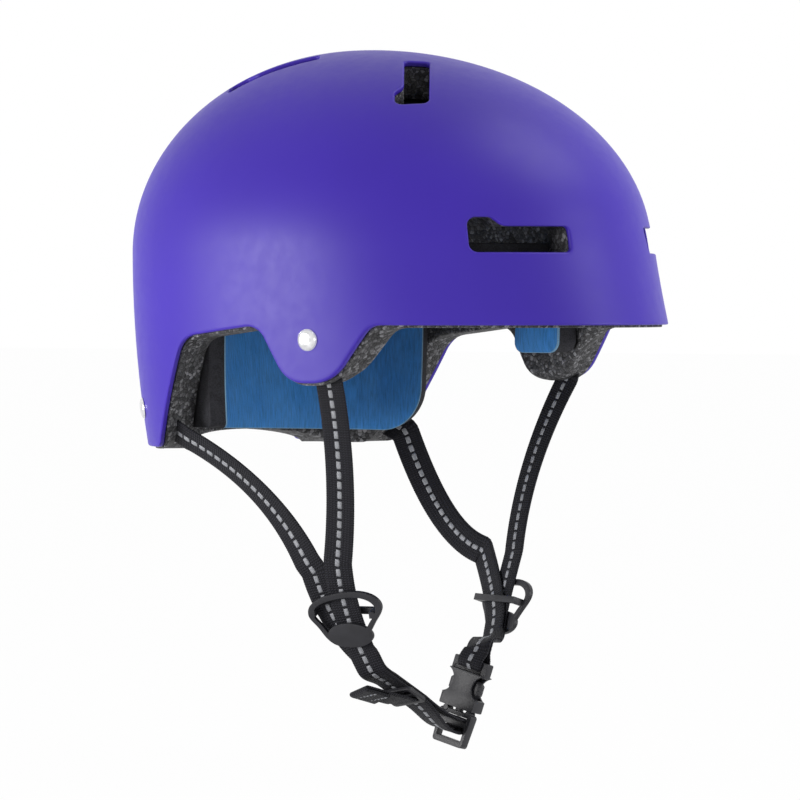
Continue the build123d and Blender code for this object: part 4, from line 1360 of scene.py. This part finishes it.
def face_lines(routes, thickness):
    """Middle lines of both faces of settled routes."""
    return [
        (points + facing * face * thickness / 2, facing * face, tangents)
        for points, facing, tangents in routes
        for face in (1, -1)
    ]


def straight_row(line, facing, heading):
    """Line of points that share one normal and one heading."""
    return line, np.repeat(facing[None], len(line), 0), np.repeat(heading[None], len(line), 0)


def dashed_band(name, marks_name, routes, settings):
    """Webbing along settled routes, and the woven dashes on both its faces."""
    bodies = [webbing_body(route, settings.width, settings.thickness) for route in routes]
    band = mapped_object(name, bodies, [finish_of("webbing")])
    dash = dash_item(settings.dash_length, settings.dash_width, 0.14)
    lines = face_lines(routes, settings.thickness)
    return band, repeated(marks_name, lines, dash, finish_of("thread"), settings.dash_pitch)


def loop_leg(ply, level, count=20):
    """One ply from the slide to a height on the plug."""
    axes = buckle_axes()
    centre, along, _, outward = slide_axes()
    start = centre + along * SLIDE_REACH + outward * ply * PLY_STEP / 2
    arrival = in_axes(axes, 0, level, 5.4)
    reach = np.linalg.norm(arrival - start) * 0.36
    curve = bend(start, start + along * reach, arrival + axes[3] * reach, arrival, count)
    return curve, turned(outward * ply, -axes[2] * ply, count)


def loop_route(step):
    """Webbing from the slide down through the plug, round its bar and back."""
    axes = buckle_axes()
    slot, window = PLUG_BAR_Y + 2.55, PLUG_BAR_Y - 4.4
    profile = [(slot, 3.0), (slot, 0.0), (slot, -2.2), (slot - 0.8, -3.3), (PLUG_BAR_Y, -3.6)]
    profile += [(PLUG_BAR_Y - 1.8, -3.4), (PLUG_BAR_Y - 2.9, -2.4), (window + 0.7, 0.0), (window, 3.0)]
    points = np.array([in_axes(axes, 0, y, z) for y, z in profile])
    runs = unit(np.gradient(np.array(profile), axis=0))
    faces = np.array([-axes[2] * run[1] + axes[3] * run[0] for run in runs])
    upper, lower = loop_leg(-1, slot), loop_leg(1, window)
    return settled(joined(upper, (points, faces), (lower[0][::-1], lower[1][::-1])), step, 1.8)


def tail_axes():
    """Knee and axes of the webbing's tail: X away from the slide, Y across, Z out from its face."""
    own = slide_axes()
    away = unit(-own[1] + np.array((0.0, 0.2, -0.24)))
    return in_axes(own, -3.0, 0, 6.6), away, own[2], unit(own[3] - away * np.dot(own[3], away))


def tail_route():
    """Tail of the webbing: up through the slide, out, and folded back on itself."""
    own, tail = slide_axes(), tail_axes()
    along, outward, away, lift = own[1], own[3], tail[1], tail[3]
    points = [in_axes(own, x, 0, z) for x, z in ((3.0, 2.4), (3.0, 3.6), (2.4, 5.0), (0, 5.3))]
    steps = [(0.0, -0.3), (4.0, 0.0)] + [(reach, 0.0) for reach in np.linspace(7.0, 22.0, 8)]
    steps += [(22.9, 0.15), (23.5, 0.8), (23.3, 1.5), (22.4, 1.75)]
    steps += [(reach, 1.7) for reach in np.linspace(20.0, 9.0, 6)]
    points += [in_axes(tail, x, 0, z) for x, z in steps]
    faces = [along, along, unit(along + outward), outward] + [lift] * 10
    faces += [unit(lift - away), -away, unit(-lift - away)] + [-lift] * 7
    return settled((np.array(points), np.array(faces)), 0.4, 0.8)


def stitch_rows():
    """Lines across the tail where its stitches lie, on both faces."""
    tail = tail_axes()
    rows = []
    for reach in (12.0, 18.5):
        for level, face in ((2.4, 1), (-0.7, -1)):
            line = np.array([in_axes(tail, reach, y, level) for y in np.linspace(-5.6, 5.6, 30)])
            rows.append(straight_row(line, tail[3] * face, tail[2]))
    return rows


# Webbing, fittings and rivets

def cleaned_copy(name, node):
    """Merged copy of a CAD node's mesh, with its flat faces joined."""
    source = bpy.data.objects[node]
    mesh = source.data.copy()
    mesh.name = name
    mesh.materials.clear()
    work = bmesh.new()
    work.from_mesh(mesh)
    bmesh.ops.remove_doubles(work, verts=work.verts, dist=2e-6)
    bmesh.ops.dissolve_limit(work, angle_limit=radians(1.0), verts=work.verts, edges=work.edges)
    work.to_mesh(mesh)
    work.free()
    for layer in list(mesh.attributes):
        if layer.name.startswith("custom_normal"):
            mesh.attributes.remove(layer)
    return linked(name, mesh)


def moulded(name, node, rounding):
    """Fitting with rounded moulded edges, made from its CAD node."""
    obj = cleaned_copy(name, node)
    mesh = obj.data
    work = bmesh.new()
    work.from_mesh(mesh)
    least_turn = radians(28)
    paired = [edge for edge in work.edges if len(edge.link_faces) == 2]
    sharp = [edge for edge in paired if edge.calc_face_angle(0) > least_turn]
    bmesh.ops.bevel(
        work, geom=sharp, offset=rounding * MM, segments=3, profile=0.5, affect="EDGES",
        miter_outer="ARC", clamp_overlap=True)
    bmesh.ops.remove_doubles(work, verts=work.verts, dist=1e-6)
    bmesh.ops.triangulate(work, faces=[face for face in work.faces if len(face.verts) > 4])
    work.to_mesh(mesh)
    work.free()
    mesh.materials.append(finish_of("fittings"))
    smooth(mesh, 35.0)
    return obj


class HelmetWebbingSettings(bpy.types.PropertyGroup):
    """Sizes of the straps."""

    width: millimetres("Width", "Webbing width", 15.0, 5.0)
    thickness: millimetres("Thickness", "Webbing thickness", 1.4, 0.5)
    step: millimetres("Step", "Distance between rows of the webbing's mesh", 0.62, 0.3)
    dash_pitch: millimetres("Dash pitch", "Distance between woven dashes", 5.1, 2.0)
    dash_length: millimetres("Dash length", "Length of a woven dash", 3.9, 0.5)
    dash_width: millimetres("Dash width", "Width of a woven dash", 2.4, 0.3)


class HELMET_OT_webbing(bpy.types.Operator):
    """Make the straps with their woven dashes"""

    bl_idname = "helmet.make_webbing"
    bl_label = "Make Webbing"

    def execute(self, context):
        settings = context.scene.helmet_webbing
        ease = 2.2
        left = settled(joined(
            strap_part("front", 1), divider_part(1, 1), left_chin_part(1), bar_turn(),
            turned_back(left_chin_part(-1)), turned_back(divider_part(1, -1)),
            turned_back(strap_part("rear", 1)),
        ), settings.step, ease)
        right_routes = []
        for name, ply in (("front", 1), ("rear", -1)):
            route = joined(strap_part(name, -1), divider_part(-1, ply), right_chin_part(ply))
            right_routes.append(settled(route, settings.step, ease))
        left_nodes = ("left_front_strap", "left_rear_strap", "left_divider_webbing", "left_chin_strap")
        right_nodes = ("right_front_strap", "right_rear_strap", "right_divider_webbing", "right_chin_strap")
        for name, routes, nodes in (
            ("left_webbing", [left], left_nodes),
            ("right_webbing", right_routes, right_nodes),
        ):
            band, marks = dashed_band(name, name + "_dashes", routes, settings)
            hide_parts(*nodes)
            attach(band, "helmet")
            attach(marks, "helmet")
        return {"FINISHED"}


class HELMET_OT_chin_loop(bpy.types.Operator):
    """Make the webbing between the slide and the plug, and its folded tail"""

    bl_idname = "helmet.make_chin_loop"
    bl_label = "Make Chin Loop"

    def execute(self, context):
        settings = context.scene.helmet_webbing
        routes = [loop_route(settings.step)]
        loop, marks = dashed_band("chin_loop_webbing", "chin_loop_dashes", routes, settings)
        slide_end = in_axes(slide_axes(), SLIDE_REACH, 0, 0)
        begin, finish = in_metres((slide_end, in_axes(buckle_axes(), 0, PLUG_BAR_Y, 6.0)))
        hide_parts("chin_loop")
        for piece in (loop, marks):
            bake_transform(piece, "helmet", "plug_body", start=begin, end=finish)

        body = webbing_body(tail_route(), settings.width - 0.3, settings.thickness)
        tail = mapped_object("folded_tail", [body], [finish_of("webbing")])
        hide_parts("strap_tail")
        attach(tail, "slide_body")
        stitch, stitch_pitch = dash_item(1.5, 0.8, 0.3), 2.0
        seams = repeated("tail_stitches", stitch_rows(), stitch, finish_of("thread"), stitch_pitch)
        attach(seams, "slide_body")
        return {"FINISHED"}


class HelmetFittingSettings(bpy.types.PropertyGroup):
    """Rounding of the moulded fittings."""

    rounding: millimetres("Rounding", "Rounding of moulded edges", 0.45, 0.05)
    rib_pitch: millimetres("Rib pitch", "Distance between ribs on the thumb pads", 1.6, 0.5)


class HELMET_OT_fittings(bpy.types.Operator):
    """Make the dividers, the slide and the buckle"""

    bl_idname = "helmet.make_fittings"
    bl_label = "Make Fittings"

    def execute(self, context):
        settings = context.scene.helmet_fittings
        for node, body, rounding in (
            ("right_divider", "right_divider_body", 0.7),
            ("left_divider", "left_divider_body", 0.7),
            ("three_bar_slide", "slide_body", 0.6),
            ("buckle_socket", "helmet", settings.rounding),
            ("buckle_plug", "plug_body", settings.rounding),
            ("right_buckle_prong", "right_prong_body", settings.rounding),
            ("left_buckle_prong", "left_prong_body", settings.rounding),
        ):
            piece = moulded(node + "_moulding", node, rounding)
            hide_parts(node)
            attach(piece, body)
        axes = buckle_axes()
        rib = dash_item(0.9, 4.2, 0.45)
        for side, body in ((-1, "right_prong_body"), (1, "left_prong_body")):
            outer, low, high = 9.25, 6.15, 10.35
            line = np.array([in_axes(axes, side * outer, y, 0) for y in np.linspace(low, high, 12)])
            rows = [straight_row(line, axes[1] * side, axes[2])]
            ribs = repeated(body + "_ribs", rows, rib, finish_of("fittings"), settings.rib_pitch)
            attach(ribs, body)
        return {"FINISHED"}


def rivet_item(radius, height):
    """Domed rivet head with its shank and its spread end, turned about Z."""
    profile = [(0.0, height)]
    for step in range(1, 11):
        turn = step / 10 * pi / 2
        profile.append((radius * 0.94 * sin(turn), 0.45 + (height - 0.45) * cos(turn) ** 0.9))
    profile += [(radius * 0.985, 0.38), (radius, 0.2), (radius * 0.97, 0.06)]
    profile += [(2.0, 0.05), (2.0, -6.6), (3.2, -6.7), (3.2, -7.2), (2.9, -7.5), (0.0, -7.5)]
    sides = 40
    spokes = [(cos(2 * pi * i / sides), sin(2 * pi * i / sides)) for i in range(sides)]
    points = [(0.0, 0.0, height)]
    points += [(r * x, r * y, z) for r, z in profile[1:-1] for x, y in spokes]
    points.append((0.0, 0.0, profile[-1][1]))
    last = len(points) - 1
    faces = []
    for i, j in ring_edges(1, sides):
        faces.append((0, i, j))
        faces.append((last, last - 1 - sides + j, last - 1 - sides + i))
        for low in range(0, (len(profile) - 3) * sides, sides):
            faces.append((low + i, low + sides + i, low + sides + j, low + j))
    return small_item("rivet", points, faces)


class HelmetRivetSettings(bpy.types.PropertyGroup):
    """Sizes of the rivets."""

    radius: millimetres("Head radius", "Radius of a rivet's head", 5.4, 1.0)
    height: millimetres("Head height", "Height of a rivet's dome", 1.9, 0.3)


class HELMET_OT_rivets(bpy.types.Operator):
    """Make the four domed rivets"""

    bl_idname = "helmet.make_rivets"
    bl_label = "Make Rivets"

    def execute(self, context):
        settings = context.scene.helmet_rivets
        item = rivet_item(settings.radius, settings.height)
        places = [rivet_place(*place, side) for side in (-1, 1) for place in (FRONT_RIVET, REAR_RIVET)]
        spots, facing = (np.array(values) for values in zip(*places))
        heading = np.repeat([[0.0, 1.0, 0.0]], len(spots), 0)
        rivets = repeated("rivets", [(spots, facing, heading)], item, finish_of("rivets"))
        rivets.data.set_sharp_from_angle(angle=radians(40.0))
        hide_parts("strap_rivets")
        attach(rivets, "helmet")
        for node, finish in (("rivet_washers", "washers"), ("pad_hook_patches", "hook_tape")):
            plain = bpy.data.objects[node]
            for slot in plain.material_slots:
                slot.material = finish_of(finish)
        return {"FINISHED"}


# Fit pads

def offset_loop(loop, distance):
    """Flat closed loop moved to its left by a distance."""
    tangents = unit(np.roll(loop, -1, 0) - np.roll(loop, 1, 0))
    return loop + np.stack((-tangents[:, 1], tangents[:, 0]), -1) * distance


def loop_distance(points, loop):
    """Distance from flat points to a closed loop."""
    start = loop[None]
    run = (np.roll(loop, -1, 0) - loop)[None]
    share = np.sum((points[:, None] - start) * run, -1) / np.maximum(np.sum(run**2, -1), 1e-12)
    nearest = start + run * np.clip(share, 0, 1)[..., None]
    return np.linalg.norm(points[:, None] - nearest, axis=-1).min(1)


def filled(loops, spacing, clear):
    """Flat triangles inside the first loop and outside the others, with an even grid of points."""
    low, high = loops[0].min(0), loops[0].max(0)
    rows = []
    for row, level in enumerate(np.arange(low[1], high[1], spacing * sqrt(3) / 2)):
        line = np.arange(low[0] + spacing / 2 * (row % 2), high[0], spacing)
        rows.append(np.stack((line, np.full_like(line, level)), -1))
    grid = np.concatenate(rows)
    grid = grid[in_outlines(grid, loops)]
    points, edges = [], []
    for loop in loops:
        grid = grid[loop_distance(grid, loop) > clear]
        edges += ring_edges(len(points), len(loop))
        points.extend(loop)
    points = np.array(points + list(grid))
    return points, triangulated(points, edges, loops)


def pad_object(name, place, outline, holes, channels, thickness, spacing):
    """Laminated pad: fabric face, pale cut edge, foam sides and a flat back."""
    loops = [outline] + holes
    edge_height = thickness * 0.84
    # Each step of the side: how far it stands in from the outline, and its height
    profile = (
        (0.35, edge_height + 0.1), (0.0, edge_height - 0.1), (0.0, edge_height - 0.8),
        (0.45, edge_height - 1.2), (0.8, edge_height * 0.5), (0.35, 0.9), (0.6, 0.0),
    )
    face_loops = [offset_loop(loop, profile[0][0]) for loop in loops]
    back_loops = [offset_loop(loop, profile[-1][0]) for loop in loops]
    flat, faces = filled(face_loops, spacing, spacing * 0.55)
    reach = np.minimum.reduce([loop_distance(flat, loop) for loop in face_loops])
    crown = 1 - (1 - np.clip(reach / 9.0, 0, 1)) ** 2.4
    rise = profile[0][1] + (thickness - profile[0][1]) * crown
    for channel in channels:
        rise -= 1.1 * np.clip(reach / 8.0, 0, 1) / (1 + ((flat[:, 0] - channel) / 3.2) ** 4)
    points = [place(flat[:, 0], flat[:, 1], rise)]
    maps = [flat]
    numbers = [0] * len(faces)
    faces = [tuple(face) for face in faces]
    total = len(flat)
    back, back_faces = filled(back_loops, spacing * 2.5, spacing)
    points.append(place(back[:, 0], back[:, 1], np.zeros(len(back))))
    maps.append(back)
    faces += [tuple(corner + total for corner in face) for face in back_faces]
    numbers += [2] * len(back_faces)
    back_first = total
    total += len(back)
    start = 0
    for loop in loops:
        size = len(loop)
        chain = [np.arange(size) + start]
        for inwards, height in profile[1:-1]:
            ring = offset_loop(loop, inwards)
            points.append(place(ring[:, 0], ring[:, 1], np.full(size, height)))
            maps.append(ring)
            chain.append(np.arange(size) + total)
            total += size
        chain.append(np.arange(size) + start + back_first)
        for step, (upper, lower) in enumerate(zip(chain, chain[1:])):
            faces += [(upper[i], upper[j], lower[j], lower[i]) for i, j in ring_edges(0, size)]
            numbers += [1 if step < 2 else 2] * size
        start += size
    faces = [tuple(int(corner) for corner in face) for face in faces]
    body = (np.concatenate(points), faces, np.concatenate(maps) * MM, numbers)
    finishes = [finish_of(key) for key in ("fabric", "cut_edge", "open_foam")]
    obj = mapped_object(name, [body], finishes, 65.0)
    free = np.zeros(total, bool)
    free[start:len(flat)] = True
    return obj, free


def inflate(pads, cap):
    """Cloth simulation that puffs the free faces of the pads and settles them; moves are capped."""
    scene = bpy.context.scene
    last_frame = 20
    for obj, free in pads:
        group = obj.vertex_groups.new(name="pin")
        group.add([int(i) for i in np.flatnonzero(~free)], 1.0, "REPLACE")
        cloth = obj.modifiers.new("inflate", "CLOTH")
        cloth.settings.vertex_group_mass = "pin"
        cloth.settings.use_pressure = True
        cloth.settings.uniform_pressure_force = 4.0
        cloth.settings.tension_stiffness = 12.0
        cloth.settings.compression_stiffness = 12.0
        cloth.settings.bending_stiffness = 0.6
        cloth.settings.effector_weights.gravity = 0.0
        cloth.point_cache.frame_start = 1
        cloth.point_cache.frame_end = last_frame
    for moment in range(1, last_frame + 1):
        scene.frame_set(moment)
    graph = bpy.context.evaluated_depsgraph_get()
    for obj, free in pads:
        solved = obj.evaluated_get(graph).to_mesh()
        after = np.zeros(len(solved.vertices) * 3)
        solved.vertices.foreach_get("co", after)
        obj.evaluated_get(graph).to_mesh_clear()
        before = np.zeros(len(after))
        obj.data.vertices.foreach_get("co", before)
        move = (after - before).reshape(-1, 3)
        size = np.linalg.norm(move, axis=1, keepdims=True)
        move *= np.minimum(1.0, cap * MM / np.maximum(size, 1e-9))
        obj.modifiers.clear()
        obj.vertex_groups.clear()
        obj.data.vertices.foreach_set("co", before + move.ravel())
        obj.data.update()
    scene.frame_set(1)


def pucker(obj, free, height):
    """Faint uneven swell of the fabric over its foam."""
    mesh = obj.data
    for vertex in mesh.vertices:
        if free[vertex.index]:
            swell = simple_noise(vertex.co * 55.0) * 0.6 + simple_noise(vertex.co * 170.0) * 0.4
            vertex.co += vertex.normal * swell * height * MM
    mesh.update()


class HelmetPadSettings(bpy.types.PropertyGroup):
    """Sizes of the fit pads."""

    thickness: millimetres("Thickness", "Pad thickness", 10.5, 2.0)
    spacing: millimetres("Spacing", "Distance between the pads' points", 2.6, 1.0)
    base: millimetres("Base", "Depth of the pads' backs below the shell's face", 22.4, 5.0)
    swell: millimetres("Swell", "Most that the simulated fabric may move", 0.7, 0.0)


class HELMET_OT_pads(bpy.types.Operator):
    """Make the brow, crown, temple and rear pads"""

    bl_idname = "helmet.make_pads"
    bl_label = "Make Pads"

    def execute(self, context):
        settings = context.scene.helmet_pads

        def side_pad(name, node, first, last, low, high, radii, holes=(), channels=(), slant=0.0, sag=0.0):
            middle, round_about = radians((first + last) / 2), 84.0
            half = radians(last - first) / 2 * round_about
            corners = [
                (-half, low - sag, radii[0]), (half - slant, low, radii[1]),
                (half, high, radii[2]), (-half, high, radii[3]),
            ]
            outline = evenly(rounded(corners, True, 0.8), 1.5, True)
            hole_loops = []
            for angle, level, wide, tall in holes:
                u = (radians(angle) - middle) * round_about
                ways = ((-1, -1), (-1, 1), (1, 1), (1, -1))
                hole = [(u + x * wide / 2, level + y * tall / 2, 0.8) for x, y in ways]
                hole_loops.append(evenly(rounded(hole, True, 0.4), 1.0, True))

            def place(u, v, rise):
                return side_points(middle + u / round_about, v, settings.base + rise)

            lines = [(2 * share - 1) * half for share in channels]
            sizes = (settings.thickness, settings.spacing)
            obj, free = pad_object(name, place, outline, hole_loops, lines, *sizes)
            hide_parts(node)
            return obj, free

        window = np.degrees(atan2(62.0, -76.0 + WIDEST_Y))
        temple_radii = (6.0, 6.0, 8.0, 8.0)
        pads = [
            side_pad(
                "rear_cushion", "rear_pad", 109.0, 251.0, -52.0, 6.0, (22.0, 4.0, 9.0, 9.0),
                slant=7.0, sag=4.5, channels=(0.25, 0.5, 0.75),
                holes=((window, -11.0, 9.0, 10.0), (360 - window, -11.0, 9.0, 10.0))),
            side_pad("brow_cushion", "brow_pad", -38.0, 38.0, 6.0, 40.0, (9.0, 9.0, 12.0, 12.0)),
            side_pad("left_temple_cushion", "left_temple_pad", 46.0, 66.0, -15.0, 36.0, temple_radii),
            side_pad("right_temple_cushion", "right_temple_pad", -66.0, -46.0, -15.0, 36.0, temple_radii),
        ]
        turn = np.linspace(0, 2 * pi, 161)[:-1]
        oval = evenly(np.stack((31.0 * np.cos(turn), 48.0 * np.sin(turn)), -1), 1.5, True)

        def crown_place(u, v, rise):
            return top_points_at(u, v + 8.0, settings.base + rise)

        thickness = settings.thickness - 0.6
        crown, free = pad_object("crown_cushion", crown_place, oval, [], [], thickness, settings.spacing)
        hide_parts("crown_pad")
        pads.append((crown, free))
        inflate(pads, settings.swell)
        for obj, free in pads:
            pucker(obj, free, 0.12)
            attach(obj, "helmet")
        return {"FINISHED"}


# Add-on

class HELMET_PT_panel(bpy.types.Panel):
    """Panel with the helmet's settings and makers"""

    bl_idname = "HELMET_PT_panel"
    bl_label = "Skate Helmet"
    bl_space_type = "VIEW_3D"
    bl_region_type = "UI"
    bl_category = "Helmet"

    def draw(self, context):
        layout = self.layout
        for title, group in GROUPS:
            box = layout.box()
            box.label(text=title)
            settings = getattr(context.scene, group)
            for key in settings.__annotations__:
                box.prop(settings, key)
        for operator in OPERATORS:
            layout.operator(operator.bl_idname)


GROUPS = (
    ("Stage", "helmet_stage"),
    ("Colours", "helmet_colours"),
    ("Shell and liner", "helmet_shell"),
    ("Webbing", "helmet_webbing"),
    ("Fittings", "helmet_fittings"),
    ("Rivets", "helmet_rivets"),
    ("Pads", "helmet_pads"),
)
SETTINGS = {
    "helmet_stage": HelmetStageSettings,
    "helmet_colours": HelmetColours,
    "helmet_shell": HelmetShellSettings,
    "helmet_webbing": HelmetWebbingSettings,
    "helmet_fittings": HelmetFittingSettings,
    "helmet_rivets": HelmetRivetSettings,
    "helmet_pads": HelmetPadSettings,
}
OPERATORS = (
    HELMET_OT_stage, HELMET_OT_shell, HELMET_OT_liner, HELMET_OT_pads, HELMET_OT_webbing,
    HELMET_OT_chin_loop, HELMET_OT_fittings, HELMET_OT_rivets,
)
CLASSES = tuple(SETTINGS.values()) + OPERATORS + (HELMET_PT_panel,)


def register():
    """Add the classes and their settings to Blender."""
    for item in CLASSES:
        bpy.utils.register_class(item)
    for name, group in SETTINGS.items():
        setattr(bpy.types.Scene, name, PointerProperty(type=group))


def unregister():
    """Take the classes and settings out again."""
    for name in reversed(SETTINGS):
        delattr(bpy.types.Scene, name)
    for item in reversed(CLASSES):
        bpy.utils.unregister_class(item)


def main():
    """Register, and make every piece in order."""
    register()
    bpy.ops.helmet.make_stage()
    bpy.ops.helmet.make_shell()
    bpy.ops.helmet.make_liner()
    bpy.ops.helmet.make_pads()
    bpy.ops.helmet.make_webbing()
    bpy.ops.helmet.make_chin_loop()
    bpy.ops.helmet.make_fittings()
    bpy.ops.helmet.make_rivets()


if __name__ == "__main__":
    main()
